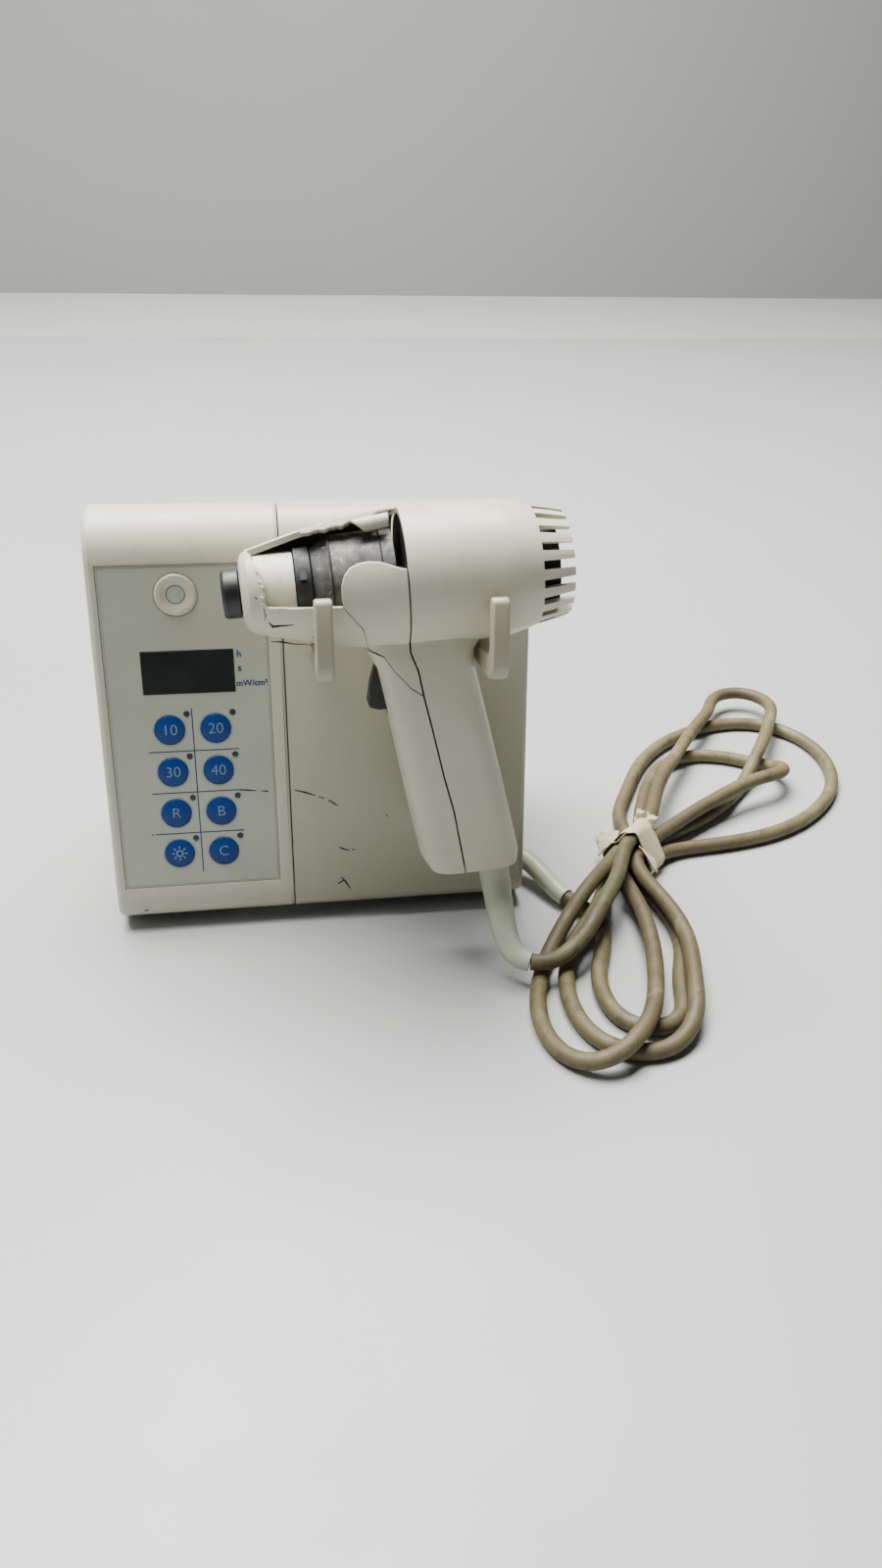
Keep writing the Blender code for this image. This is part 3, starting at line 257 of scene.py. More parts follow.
def aged_plastic(name, base, yellow, rough=0.4, grain=0.25, grime=0.35):
    """Moulded housing plastic: fine texture, uneven yellowing, faint grime and dark specks."""
    n = Nodes(name)
    color = n.mottle(base, yellow, 14.0, 5.0, 0.35, 0.7, rough=0.6)
    smudge = n.ramp(n.noise(60.0, 6.0, 0.68, 0.8), (0.56, 0.0), (0.78, grime))
    color = n.mix(smudge, color, tuple(c * 0.72 for c in base))
    specks = n.times(
        n.ramp(n.cells(260.0), (0.035, 0.55), (0.07, 0.0)),
        n.ramp(n.noise(36.0, 2.0), (0.56, 0.0), (0.62, 1.0)),
    )
    color = n.mix(specks, color, (0.22, 0.2, 0.16))
    drawn_out = n.stretched((1.0, 1.0, 9.0), (0.0, 0.6, 0.4))
    scuffs = n.ramp(n.noise(34.0, 3.0, 0.5, 2.4, drawn_out), (0.66, 0.0), (0.72, 0.3))
    color = n.mix(scuffs, color, tuple(min(c * 1.14, 1.0) for c in base))
    roughness = n.ramp(n.noise(90.0, 4.0), (0.3, rough - 0.06), (0.75, rough + 0.09))
    waves = n.bump(n.noise(22.0, 2.0, 0.5), 0.12, 0.0006)
    return n.finish(color, roughness, n.bump(n.noise(1900.0, 2.0, 0.5), grain, 0.00006, waves))


def glossy_black(name, base=(0.008, 0.008, 0.0085), rough=0.36, dust=0.14):
    """Black plastic with a haze of dust."""
    n = Nodes(name)
    haze = n.ramp(n.noise(120.0, 6.0, 0.7), (0.5, 0.0), (0.8, dust))
    color = n.mix(haze, base, (0.16, 0.155, 0.14))
    roughness = n.ramp(n.noise(200.0, 4.0), (0.3, rough), (0.75, rough + 0.22))
    return n.finish(color, roughness, n.bump(n.noise(900.0, 3.0), 0.12, 0.00008))


def print_ink(name, color, rough=0.45):
    """Screen-printed ink, a little uneven."""
    n = Nodes(name)
    tone = n.mottle(color, tuple(c * 0.82 for c in color), 700.0, 3.0, 0.35, 0.7)
    return n.finish(tone, rough, n.bump(n.noise(2500.0, 2.0), 0.08, 0.00003))


def overlay_film(name):
    """Grey-green printed film with rubbed patches and small dark dots."""
    n = Nodes(name)
    tone = n.mottle((0.43, 0.445, 0.35), (0.385, 0.4, 0.305), 26.0, 4.0, 0.4, 0.7)
    drawn_out = n.stretched((1.0, 1.0, 6.0), (0.2, 0.9, 0.0))
    rub = n.ramp(n.noise(50.0, 5.0, 0.6, 1.6, drawn_out), (0.62, 0.0), (0.8, 0.35))
    tone = n.mix(rub, tone, (0.5, 0.515, 0.42))
    dots = n.times(
        n.ramp(n.cells(420.0), (0.03, 0.6), (0.06, 0.0)),
        n.ramp(n.noise(45.0, 2.0), (0.58, 0.0), (0.62, 1.0)),
    )
    tone = n.mix(dots, tone, (0.2, 0.2, 0.17))
    rough = n.ramp(n.noise(140.0, 4.0), (0.3, 0.3), (0.7, 0.44))
    grain = n.bump(n.noise(2600.0, 2.0), 0.16, 0.00004)
    return n.finish(tone, rough, grain, Coat_Weight=0.12, Coat_Roughness=0.3)


def key_plastic(name):
    """Blue key caps, a little worn."""
    n = Nodes(name)
    tone = n.mottle((0.0006, 0.034, 0.185), (0.001, 0.042, 0.22), 300.0, 4.0, 0.35, 0.75)
    worn = n.ramp(n.noise(160.0, 6.0, 0.7), (0.62, 0.0), (0.8, 0.4))
    tone = n.mix(worn, tone, (0.008, 0.08, 0.28))
    rough = n.ramp(n.noise(400.0, 3.0), (0.3, 0.36), (0.7, 0.5))
    grain = n.bump(n.noise(2200.0, 2.0), 0.15, 0.00004)
    return n.finish(tone, rough, grain, Specular_IOR_Level=0.25)


def display_glass(name):
    """The dark window over the digits, smeared by fingers."""
    n = Nodes(name)
    tone = n.mottle((0.006, 0.008, 0.007), (0.014, 0.017, 0.015), 70.0, 4.0, 0.35, 0.8)
    smears = n.ramp(n.noise(90.0, 5.0), (0.35, 0.3), (0.75, 0.45))
    return n.finish(tone, smears, Specular_IOR_Level=0.2)


def milky_lens(name, base=(0.5, 0.52, 0.46)):
    """Diffusing plastic of the light meter's port and the indicator dots."""
    n = Nodes(name)
    tone = n.mottle(base, tuple(c * 0.7 for c in base), 500.0, 4.0, 0.3, 0.8)
    return n.finish(tone, n.ramp(n.noise(300.0), (0.3, 0.25), (0.7, 0.4)), Subsurface_Weight=0.1)


def white_ceramic(name):
    """The pale heat-proof tube and socket."""
    n = Nodes(name)
    tone = n.mottle((0.7, 0.69, 0.57), (0.6, 0.585, 0.46), 80.0, 4.0, 0.4, 0.75)
    rough = n.ramp(n.noise(500.0, 3.0), (0.3, 0.4), (0.75, 0.58))
    return n.finish(tone, rough, n.bump(n.noise(1400.0, 3.0), 0.12, 0.00006))


def lamp_metal(name):
    """Heat-stained metal with light scuffs, dark freckles and a brown tint."""
    n = Nodes(name)
    tone = n.mottle((0.045, 0.043, 0.039), (0.19, 0.186, 0.17), 90.0, 6.0, 0.35, 0.7, rough=0.7)
    heat = n.ramp(n.noise(55.0, 3.0), (0.6, 0.0), (0.72, 0.45))
    tone = n.mix(heat, tone, (0.13, 0.09, 0.05))
    freckles = n.ramp(n.cells(900.0), (0.12, 0.8), (0.3, 0.0))
    tone = n.mix(freckles, tone, (0.05, 0.048, 0.04))
    rubs = n.ramp(n.noise(240.0, 6.0, 0.75, 0.5), (0.58, 0.0), (0.66, 0.8))
    tone = n.mix(rubs, tone, (0.42, 0.41, 0.37))
    rough = n.ramp(n.noise(260.0, 5.0), (0.3, 0.42), (0.72, 0.68))
    return n.finish(tone, rough, n.bump(n.noise(500.0, 5.0, 0.7), 0.35, 0.0001), Metallic=0.5)


def plain_metal(name, base, rough=0.36):
    """Brushed bare metal."""
    n = Nodes(name)
    tone = n.mottle(base, tuple(c * 0.74 for c in base), 120.0, 5.0, 0.35, 0.7)
    brushed = n.noise(700.0, 3.0, 0.5, 0.0, n.stretched((1.0, 1.0, 14.0)))
    roughness = n.ramp(brushed, (0.3, rough - 0.08), (0.7, rough + 0.1))
    return n.finish(tone, roughness, n.bump(brushed, 0.1, 0.00005), Metallic=1.0)


def simple_grain(name, base, other, rough, scale=160.0, bump=0.15):
    """Two close tones with a little relief, for boards, rubber and the room."""
    n = Nodes(name)
    tone = n.mottle(base, other, scale, 5.0, 0.35, 0.7)
    roughness = n.ramp(n.noise(scale * 2), (0.3, rough - 0.06), (0.7, rough + 0.08))
    return n.finish(tone, roughness, n.bump(n.noise(scale * 7, 3.0), bump, 0.0001))


def cord_jacket(name):
    """Old cream jacket: brown ageing, green-yellow patches and small dirty marks."""
    n = Nodes(name)
    tone = n.mottle((0.145, 0.12, 0.052), (0.088, 0.066, 0.027), 9.0, 3.0, 0.4, 0.62)
    green = n.ramp(n.noise(24.0, 4.0, 0.6), (0.52, 0.0), (0.68, 0.65))
    tone = n.mix(green, tone, (0.118, 0.117, 0.042))
    pale = n.ramp(n.noise(33.0, 5.0, 0.65, 0.6), (0.57, 0.0), (0.72, 0.7))
    tone = n.mix(pale, tone, (0.245, 0.218, 0.115))
    dirt = n.ramp(n.noise(110.0, 6.0, 0.72, 0.4), (0.5, 0.0), (0.64, 0.85))
    tone = n.mix(dirt, tone, (0.06, 0.045, 0.022))
    specks = n.ramp(n.cells(520.0), (0.05, 0.5), (0.12, 0.0))
    gate = n.ramp(n.noise(70.0), (0.55, 0.0), (0.6, 1.0))
    tone = n.mix(n.times(specks, gate), tone, (0.1, 0.08, 0.05))
    rough = n.ramp(n.noise(200.0, 4.0), (0.3, 0.5), (0.75, 0.7))
    normal = n.bump(n.noise(45.0, 3.0), 0.25, 0.0006)
    return n.finish(tone, rough, n.bump(n.noise(1200.0, 3.0), 0.18, 0.00008, normal))


MATERIALS = {
    "housing": aged_plastic("housing", (0.56, 0.55, 0.43), (0.51, 0.49, 0.36)),
    # a darker copy of the housing: painted shade, for the gun's shadow on the right shell and the
    # shade in the seam's groove
    "housing_painted_shade": aged_plastic("housing_painted_shade", (0.47, 0.46, 0.35), (0.425, 0.41, 0.295)),
    # the hooks' housing plastic darkened: painted shadow of the barrel above them
    "hook_painted_shadow": aged_plastic("hook_painted_shadow", (0.36, 0.35, 0.262), (0.32, 0.305, 0.215)),
    "overlay": overlay_film("overlay"),
    "display": display_glass("display"),
    "lens": milky_lens("lens"),
    "led": milky_lens("led", (0.012, 0.012, 0.012)),
    "key": key_plastic("key"),
    "black": glossy_black("black"),
    "matte_black": glossy_black("matte_black", (0.01, 0.01, 0.0105), 0.5, 0.25),
    "ceramic": white_ceramic("ceramic"),
    "lamp_metal": lamp_metal("lamp_metal"),
    "bulb": plain_metal("bulb", (0.75, 0.76, 0.76), 0.16),
    "steel": plain_metal("steel", (0.55, 0.56, 0.57)),
    "aluminium": plain_metal("aluminium", (0.7, 0.71, 0.72)),
    "copper": simple_grain("copper", (0.5, 0.22, 0.1), (0.36, 0.14, 0.06), 0.4),
    "board": simple_grain("board", (0.02, 0.16, 0.07), (0.015, 0.11, 0.05), 0.45, 220.0),
    "rubber": simple_grain("rubber", (0.02, 0.02, 0.02), (0.035, 0.035, 0.033), 0.75),
    "cord": cord_jacket("cord"),
    "relief": aged_plastic("relief", (0.5, 0.53, 0.42), (0.41, 0.43, 0.31), 0.42, 0.2, 0.5),
    "tape": aged_plastic("tape", (0.56, 0.5, 0.33), (0.5, 0.44, 0.27), 0.6, 0.5, 0.5),
    "ink_blue": print_ink("ink_blue", (0.002, 0.03, 0.16)),
    "ink_light": print_ink("ink_light", (0.27, 0.38, 0.46)),
    "ink_grey": print_ink("ink_grey", (0.27, 0.27, 0.21)),
    "scratch": print_ink("scratch", (0.02, 0.02, 0.018), 0.7),
    "torn": aged_plastic("torn", (0.34, 0.33, 0.26), (0.26, 0.25, 0.18), 0.6, 0.5, 0.6),
    "latch": glossy_black("latch", (0.05, 0.05, 0.05), 0.45),
    "chip": print_ink("chip", (0.72, 0.72, 0.64), 0.5),
}


# ---------------------------------------------------------------- cord route
STRANDS = {                         # place of each strand in the tied bundle: across, height
    "gun": (0.0, 19.1), "second": (-4.0, 12.3), "third": (-8.0, 5.5),
    "first_back": (0.0, 5.5), "second_back": (4.0, 12.3), "third_back": (8.0, 5.5),
}
GUN_RELIEF = (                      # Bezier points of the strain reliefs' middle lines
    (155.6, -25.0, 49.4), (161.2, -29.4, 24.7), (157.0, -50.0, 11.0), (169.0, -53.0, 11.1),
)
CONSOLE_RELIEF = (
    (175.0, 28.0, 11.0), (188.0, 28.0, 11.0), (191.0, 6.0, 5.4), (197.5, -2.0, 4.8),
)
GUN_LEAD = [
    (181.0, -53.6, 11.8), (191.0, -46.5, 13.8), (201.0, -35.0, 17.2),
    (209.5, -22.5, 19.2), (219.0, -7.0, 18.8),
]
LOBE_TALL = [
    (253.0, 49.0, 17.6), (267.0, 79.0, 15.4), (290.0, 115.0, 13.4), (313.0, 148.0, 12.2),
    (326.0, 167.0, 10.8), (335.5, 182.5, 10.6),
    (354.0, 186.0, 10.8), (364.0, 171.0, 11.2), (356.5, 149.0, 12.0),
    (342.0, 123.0, 12.6), (333.0, 109.0, 12.8), (317.0, 88.5, 4.8), (283.0, 58.0, 3.8),
    (254.0, 40.5, 4.0),
]
LOOP_WIDE = [
    (229.4, 13.0, 5.0), (227.8, 2.0, 6.2), (226.8, -18.0, 9.4), (224.0, -44.0, 10.2),
    (218.0, -68.0, 11.2),
    (209.0, -91.0, 11.5), (197.5, -104.5, 10.9), (187.5, -109.5, 8.0), (177.0, -106.0, 4.4),
    (170.0, -96.5, 3.6),
    (167.5, -80.0, 3.6), (172.0, -59.0, 3.6), (181.0, -39.0, 4.2), (194.0, -21.5, 10.4),
    (208.0, -4.5, 14.2), (217.5, 7.5, 13.0),
]
LOBE_SHORT = [
    (248.5, 52.0, 10.4), (262.0, 84.0, 8.0), (273.0, 104.0, 5.4), (286.0, 118.5, 3.6),
    (302.0, 124.5, 3.6), (319.0, 121.0, 3.6), (334.0, 111.5, 3.6), (342.5, 97.0, 9.0),
    (335.0, 83.5, 13.8), (319.0, 77.0, 14.6),
    (297.0, 66.0, 13.0), (275.0, 52.0, 11.8), (258.0, 39.5, 11.0),
]
LOOP_NARROW = [
    (233.4, 7.0, 11.7), (235.4, -6.0, 11.4), (239.6, -28.0, 11.2), (238.4, -52.0, 11.0),
    (233.0, -73.0, 10.9),
    (227.2, -91.0, 7.6), (214.5, -102.0, 3.7), (199.0, -102.5, 3.6), (187.5, -94.0, 3.6),
    (182.5, -79.0, 3.6), (182.8, -62.0, 3.6), (187.0, -47.0, 3.8), (194.0, -34.0, 6.6),
    (206.0, -21.5, 11.5), (210.0, -13.5, 11.2), (214.8, -2.4, 6.2), (218.5, 6.0, 4.6),
]
LOBE_FLAT = [
    (241.0, 60.0, 3.6), (252.0, 87.0, 3.6), (268.0, 116.0, 3.6), (291.0, 141.0, 3.6),
    (314.0, 154.5, 3.6), (338.0, 160.5, 3.6), (358.0, 155.0, 3.6), (372.0, 137.0, 3.6),
    (374.5, 109.0, 3.6), (365.0, 82.0, 3.6), (346.0, 60.0, 3.6), (322.0, 44.5, 3.6),
    (297.0, 37.0, 3.6), (274.0, 34.0, 3.6), (260.0, 32.0, 3.6),
]
CONSOLE_LEAD = [
    (236.2, 4.5, 4.8), (238.6, -7.0, 4.1), (241.0, -26.0, 3.6), (237.0, -48.0, 3.6),
    (230.6, -64.0, 3.6), (228.2, -75.5, 3.6), (223.5, -86.2, 3.6), (212.6, -90.9, 3.6),
    (201.6, -86.2, 3.6), (197.0, -75.5, 3.6), (197.2, -60.0, 3.6), (202.0, -45.0, 3.6),
    (207.0, -33.0, 3.6), (208.5, -20.5, 3.6), (204.5, -9.5, 3.8),
]
CORD_SAMPLES = 640
CORD_EASING = 5                     # passes that ease the line's bends
RELIEF_STEPS = 10
RELIEF_GAP = 0.35                   # from a relief's end to the lead's end
RELIEF_LEAD = 4.6                   # from a relief's end to where the lead may turn


def bezier(control, steps):
    """Points on a cubic Bezier curve."""
    a, b, c, d = (Vector(p) for p in control)
    points = []
    for i in range(steps + 1):
        t = i / steps
        s = 1 - t
        points.append(tuple(a * s**3 + b * 3 * s * s * t + c * 3 * s * t * t + d * t**3))
    return points


def tie_pass(strand, upwards):
    """The three route points of a strand through the tape band."""
    across, height = STRANDS[strand]
    points = []
    for step in (-TIE_HALF_LENGTH, 0.0, TIE_HALF_LENGTH):
        x = TIE_CENTRE[0] + across * TIE_ACROSS[0] + step * TIE_ALONG[0]
        y = TIE_CENTRE[1] + across * TIE_ACROSS[1] + step * TIE_ALONG[1]
        points.append((x, y, height))
    return points if upwards else points[::-1]


def beyond(control, reach):
    """A point a short way past the end of a strain relief."""
    before, end = (Vector(point) for point in bezier(control, RELIEF_STEPS)[-2:])
    return tuple(end + (end - before).normalized() * reach)


def cord_route():
    """The lead's route points in the table frame, from the gun to the console."""
    route = [beyond(GUN_RELIEF, RELIEF_GAP), beyond(GUN_RELIEF, RELIEF_LEAD)]
    route += GUN_LEAD + tie_pass("gun", True) + LOBE_TALL + tie_pass("first_back", False)
    route += LOOP_WIDE + tie_pass("second", True) + LOBE_SHORT + tie_pass("second_back", False)
    route += LOOP_NARROW + tie_pass("third", True) + LOBE_FLAT + tie_pass("third_back", False)
    route += CONSOLE_LEAD
    return route + [beyond(CONSOLE_RELIEF, RELIEF_LEAD), beyond(CONSOLE_RELIEF, RELIEF_GAP)]


def smooth_curve(points, count):
    """A natural cubic spline through points, read at even stations and eased where it bends."""
    points = np.array(points, dtype=float)
    steps = np.linalg.norm(np.diff(points, axis=0), axis=1)
    knots = np.concatenate(([0.0], np.cumsum(steps)))
    size = len(points)
    system = np.eye(size)
    right = np.zeros((size, 3))
    for i in range(1, size - 1):
        left_step, right_step = steps[i - 1], steps[i]
        system[i, i - 1 : i + 2] = left_step, 2 * (left_step + right_step), right_step
        turn = (points[i + 1] - points[i]) / right_step - (points[i] - points[i - 1]) / left_step
        right[i] = 6 * turn
    bends = np.linalg.solve(system, right)

    def read(station):
        i = min(int(np.searchsorted(knots, station, side="right")) - 1, size - 2)
        h = steps[i]
        a, b = (knots[i + 1] - station) / h, (station - knots[i]) / h
        curve = (a**3 - a) * bends[i] + (b**3 - b) * bends[i + 1]
        return a * points[i] + b * points[i + 1] + curve * h * h / 6

    line = np.array([read(s) for s in np.linspace(0.0, knots[-1], count)])
    for _ in range(CORD_EASING):
        line[1:-1] += 0.5 * ((line[:-2] + line[2:]) / 2 - line[1:-1])
    line[:, 2] = np.maximum(line[:, 2], CORD_DIAMETER / 2 + 0.1)
    return line


def make_cord():
    """The lead from the gun's strain relief through the tie to the console's."""
    line = smooth_curve(cord_route(), CORD_SAMPLES)
    curve = bpy.data.curves.new("lead_cord", "CURVE")
    curve.dimensions = "3D"
    curve.bevel_depth = CORD_DIAMETER / 2 * MM
    curve.bevel_resolution = 6
    curve.use_fill_caps = True
    spline = curve.splines.new("POLY")
    spline.points.add(len(line) - 1)
    for i, (x, y, z) in enumerate(line):
        spline.points[i].co = (*at(TABLE, x, y, z), 1.0)
    spline.use_smooth = True
    curve.materials.append(MATERIALS["cord"])
    cord = bpy.data.objects.new("lead_cord", curve)
    bpy.context.scene.collection.objects.link(cord)
    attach(cord, "console")
    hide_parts("lead")
    length = float(np.linalg.norm(np.diff(line, axis=0), axis=1).sum()) * MM
    return cord, length, at(TABLE, *line[0])


# ---------------------------------------------------------------- refining the fixed nodes
WELD = 0.002 * MM
FLAT_ANGLE = math.radians(0.6)      # faces closer than this in angle are joined
EDGE_ANGLE = math.radians(32.0)     # edges sharper than this are rounded


def add(name, bm, material, body, smooth=35.0):
    """A new piece from a bmesh in world metres, with edges above smooth degrees kept sharp."""
    mesh = bpy.data.meshes.new(name)
    bm.to_mesh(mesh)
    bm.free()
    mesh.materials.append(MATERIALS[material])
    piece = bpy.data.objects.new(name, mesh)
    bpy.context.scene.collection.objects.link(piece)
    mesh.shade_smooth()
    mesh.set_sharp_from_angle(angle=math.radians(smooth))
    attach(piece, body)
    return piece


def refined(node, material, edge):
    """A finer copy of a fixed node: flat stretches joined, edges rounded, shaded smooth."""
    source = frame["nodes"][node]
    bm = bmesh.new()
    bm.from_mesh(source.data)
    bmesh.ops.remove_doubles(bm, verts=bm.verts, dist=WELD)
    bmesh.ops.dissolve_limit(bm, angle_limit=FLAT_ANGLE, verts=bm.verts, edges=bm.edges)
    piece = add(f"{node}_fine", bm, material, source["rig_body"], 40.0)
    if edge:
        bevel = piece.modifiers.new("Edge", "BEVEL")
        bevel.width = edge * MM
        bevel.segments = 2
        bevel.limit_method = "ANGLE"
        bevel.angle_limit = EDGE_ANGLE
        bevel.use_clamp_overlap = True
        bevel.harden_normals = False
    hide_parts(node)
    return piece


PLAIN = {                           # nodes that keep their own mesh, by material
    "display": ("display_module",),
    "lens": ("heat_filter",),
    "matte_black": ("fuse_holder", "smoothing_capacitor", "beeper", "trigger_switch", "fan_rotor"),
    "ceramic": ("lamp_socket",),
    "bulb": ("lamp_bulb",),
    "steel": ("base_plate", "transformer_core", "trigger_spring"),
    "aluminium": ("heat_sink",),
    "copper": ("transformer_coil",),
    "board": ("key_switch_board", "power_board", "control_board"),
}
FINE = (                            # node, material, edge rounding in mm
    # the right shell takes the darker housing copy: painted shadow of the gun
    ("left_shell", "housing", 0.25), ("right_shell", "housing_painted_shade", 0.25),
    ("control_overlay", "overlay", 0.0), ("display_window", "display", 0.15),
    ("radiometer_ring", "housing", 0.0), ("radiometer_lens", "lens", 0.0),
    ("led_light_pipe", "led", 0.0), ("power_switch_body", "matte_black", 0.3),
    # the holder hooks take the darkened plastic: painted shadow of the barrel
    ("power_rocker", "black", 0.25), ("holder_left", "hook_painted_shadow", 0.9), ("holder_right", "hook_painted_shadow", 0.9),
    ("rear_panel", "housing", 0.2), ("mains_inlet", "matte_black", 0.25),
    ("foot_front_left", "rubber", 0.4), ("foot_front_right", "rubber", 0.4),
    ("foot_rear_left", "rubber", 0.4), ("foot_rear_right", "rubber", 0.4),
    ("nose_cover", "housing", 0.22), ("shoulder_piece", "housing", 0.22),
    ("grip_front_shell", "housing", 0.22), ("rear_housing", "housing", 0.22),
    ("light_guide_collar", "black", 0.25), ("filter_tube", "ceramic", 0.25),
    ("filter_ring", "matte_black", 0.25), ("lamp_housing", "lamp_metal", 0.15),
    ("lamp_disc", "matte_black", 0.15), ("fan_frame", "matte_black", 0.2),
    ("trigger", "black", 0.4),
    ("gun_strain_relief", "relief", 0.0), ("console_strain_relief", "relief", 0.0),
)


def dress_nodes():
    for material, nodes in PLAIN.items():
        for node in nodes:
            mesh = frame["nodes"][node].data
            mesh.materials.clear()
            mesh.materials.append(MATERIALS[material])
    for node, material, edge in FINE:
        refined(node, material, edge)
    for name in sum(KEY_NAMES, ()):
        refined(name, "key", 0.2)


# ---------------------------------------------------------------- printed overlay
def flat_strip(name, low, high, depth, material):
    """A thin flat strip of print between two face-frame corners (x, z)."""
    bm = bmesh.new()
    corners = ((low[0], low[1]), (high[0], low[1]), (high[0], high[1]), (low[0], high[1]))
    front = [bm.verts.new(at(FACE, x, depth, z)) for x, z in corners]
    back = [bm.verts.new(at(FACE, x, depth + PRINT_THICKNESS, z)) for x, z in corners]
    bm.faces.new(front)
    bm.faces.new(back[::-1])
    for i in range(4):
        j = (i + 1) % 4
        bm.faces.new((front[j], front[i], back[i], back[j]))
    bmesh.ops.recalc_face_normals(bm, faces=bm.faces)
    add(name, bm, material, "console")


def flat_ring(name, centre, outer, inner, depth, material, body="console", steps=48):
    """A thin flat ring of print on the face."""
    bm = bmesh.new()
    rings = []
    behind = depth + PRINT_THICKNESS
    for radius, y in ((outer, depth), (inner, depth), (inner, behind), (outer, behind)):
        ring = []
        for i in range(steps):
            turn = math.tau * i / steps
            x, z = centre[0] + radius * math.cos(turn), centre[1] + radius * math.sin(turn)
            ring.append(bm.verts.new(at(FACE, x, y, z)))
        rings.append(ring)
    for a, b in zip(rings, rings[1:] + rings[:1]):
        for i in range(steps):
            j = (i + 1) % steps
            bm.faces.new((a[i], a[j], b[j], b[i]))
    bmesh.ops.recalc_face_normals(bm, faces=bm.faces)
    add(name, bm, material, body)


def lettering(name, text, size, x, z, depth, material, body="console", weight=0.0):
    """Generic lettering that lies on the face, centred on x and z."""
    curve = bpy.data.curves.new(name, "FONT")
    curve.body = text
    curve.size = size * MM
    curve.align_x = "CENTER"
    curve.align_y = "CENTER"
    curve.extrude = 0.02 * MM
    curve.offset = weight * MM
    curve.resolution_u = 6
    curve.materials.append(MATERIALS[material])
    piece = bpy.data.objects.new(name, curve)
    bpy.context.scene.collection.objects.link(piece)
    place = FACE @ Matrix.Translation((x * MM, depth * MM, z * MM))
    piece.matrix_world = place @ Matrix.Rotation(math.pi / 2, 4, "X")
    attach(piece, body)


def make_prints():
    """The overlay's border, dividers, units, key halos, indicator rings and key marks."""
    on_panel = PANEL_FRONT - 0.05
    outline = 0.9                   # the border's distance from the overlay's edge
    left, right = PANEL_X[0] + outline, PANEL_X[1] - outline
    low, high = PANEL_Z[0] + outline, PANEL_Z[1] - outline
    line = 0.22                     # the border's width
    flat_strip("border_left", (left, low), (left + line, high), on_panel, "ink_grey")
    flat_strip("border_right", (right - line, low), (right, high), on_panel, "ink_grey")
    flat_strip("border_bottom", (left, low), (right, low + line), on_panel, "ink_grey")
    flat_strip("border_top", (left, high - line), (right, high), on_panel, "ink_grey")

    middle = 37.2                   # of the two key columns
    half = 0.24                     # of a divider's width
    flat_strip(
        "divider_tall", (middle - half, 25.7), (middle + half, 98.7), on_panel, "ink_blue"
    )
    for i, z in enumerate((80.4, 62.2, 43.9)):
        under, over = z - half, z + half
        flat_strip(f"divider_{i}_left", (18.7, under), (middle - half, over), on_panel, "ink_blue")
        flat_strip(f"divider_{i}_right", (middle + half, under), (55.5, over), on_panel, "ink_blue")

    units = (("h", 3.9, 57.6, 120.6), ("s", 3.9, 57.6, 114.8), ("mW/cm²", 3.5, 62.3, 108.3))
    for text, size, x, z in units:
        lettering(f"unit_{text[0]}", text, size, x, z, on_panel, "ink_blue", weight=0.1)

    glyphs = (("10", "20"), ("30", "40"), ("R", "B"), ("", "C"))
    for row, (names, marks) in enumerate(zip(KEY_NAMES, glyphs)):
        for column, (name, mark) in enumerate(zip(names, marks)):
            x, z = KEY_COLUMNS[column], KEY_ROWS[row]
            outer, inner = KEY_RADIUS + 0.95, KEY_RADIUS + 0.45
            flat_ring(f"{name}_halo", (x, z), outer, inner, on_panel, "ink_light")
            led = (x + LED_OFFSET[0], z + LED_OFFSET[1])
            flat_ring(f"{name}_led_ring", led, 1.7, 1.45, on_panel, "ink_light", steps=24)
            if mark:
                lettering(
                    f"{name}_mark", mark, 6.5, x, z - 0.1, KEY_PRINT, "ink_light",
                    body=f"{name}_cap", weight=-0.13,
                )
    make_sun_mark()


def make_sun_mark():
    """A small generic sun on the last key of the left column."""
    x, z = KEY_COLUMNS[0], KEY_ROWS[3]
    body = "key_mode_cap"
    flat_ring("mode_sun", (x, z), 1.5, 1.05, KEY_PRINT, "ink_light", body, 24)
    bm = bmesh.new()
    for i in range(8):
        turn = math.tau * i / 8
        cos, sin = math.cos(turn), math.sin(turn)
        corners = ((2.1, -0.2), (3.3, -0.2), (3.3, 0.2), (2.1, 0.2))
        bm.faces.new([
            bm.verts.new(at(FACE, x + u * cos - v * sin, KEY_PRINT, z + u * sin + v * cos))
            for u, v in corners
        ])
    rays = add("mode_sun_rays", bm, "ink_light", body)
    solid = rays.modifiers.new("Ink", "SOLIDIFY")
    solid.thickness = 0.03 * MM


# ---------------------------------------------------------------- wear
def barrel_radius(station):
    """The outer radius of the barrel's front half."""
    stations, radii = zip(*BARREL_PROFILE)
    return float(np.interp(station, stations, radii))


def on_barrel(station, height, lift=0.04):
    """A world point on the barrel's near side."""
    radius = barrel_radius(station) + lift
    return at(GUN, station, -math.sqrt(max(radius**2 - height**2, 0.0)), height)


def stroke(bm, points, widths, out):
    """A tapering ribbon along world points, seen from the out direction."""
    sides = []
    for i, (point, width) in enumerate(zip(points, widths)):
        ahead = points[min(i + 1, len(points) - 1)] - points[max(i - 1, 0)]
        across = ahead.cross(out).normalized() * width * MM / 2
        sides.append((bm.verts.new(point + across), bm.verts.new(point - across)))
    for (a, b), (c, d) in zip(sides, sides[1:]):
        bm.faces.new((a, b, d, c))


def ink_thick(piece, thickness=0.03):
    """Give a sheet a thickness in millimetres, half on each side."""
    solid = piece.modifiers.new("Body", "SOLIDIFY")
    solid.thickness = thickness * MM
    solid.offset = 0.0


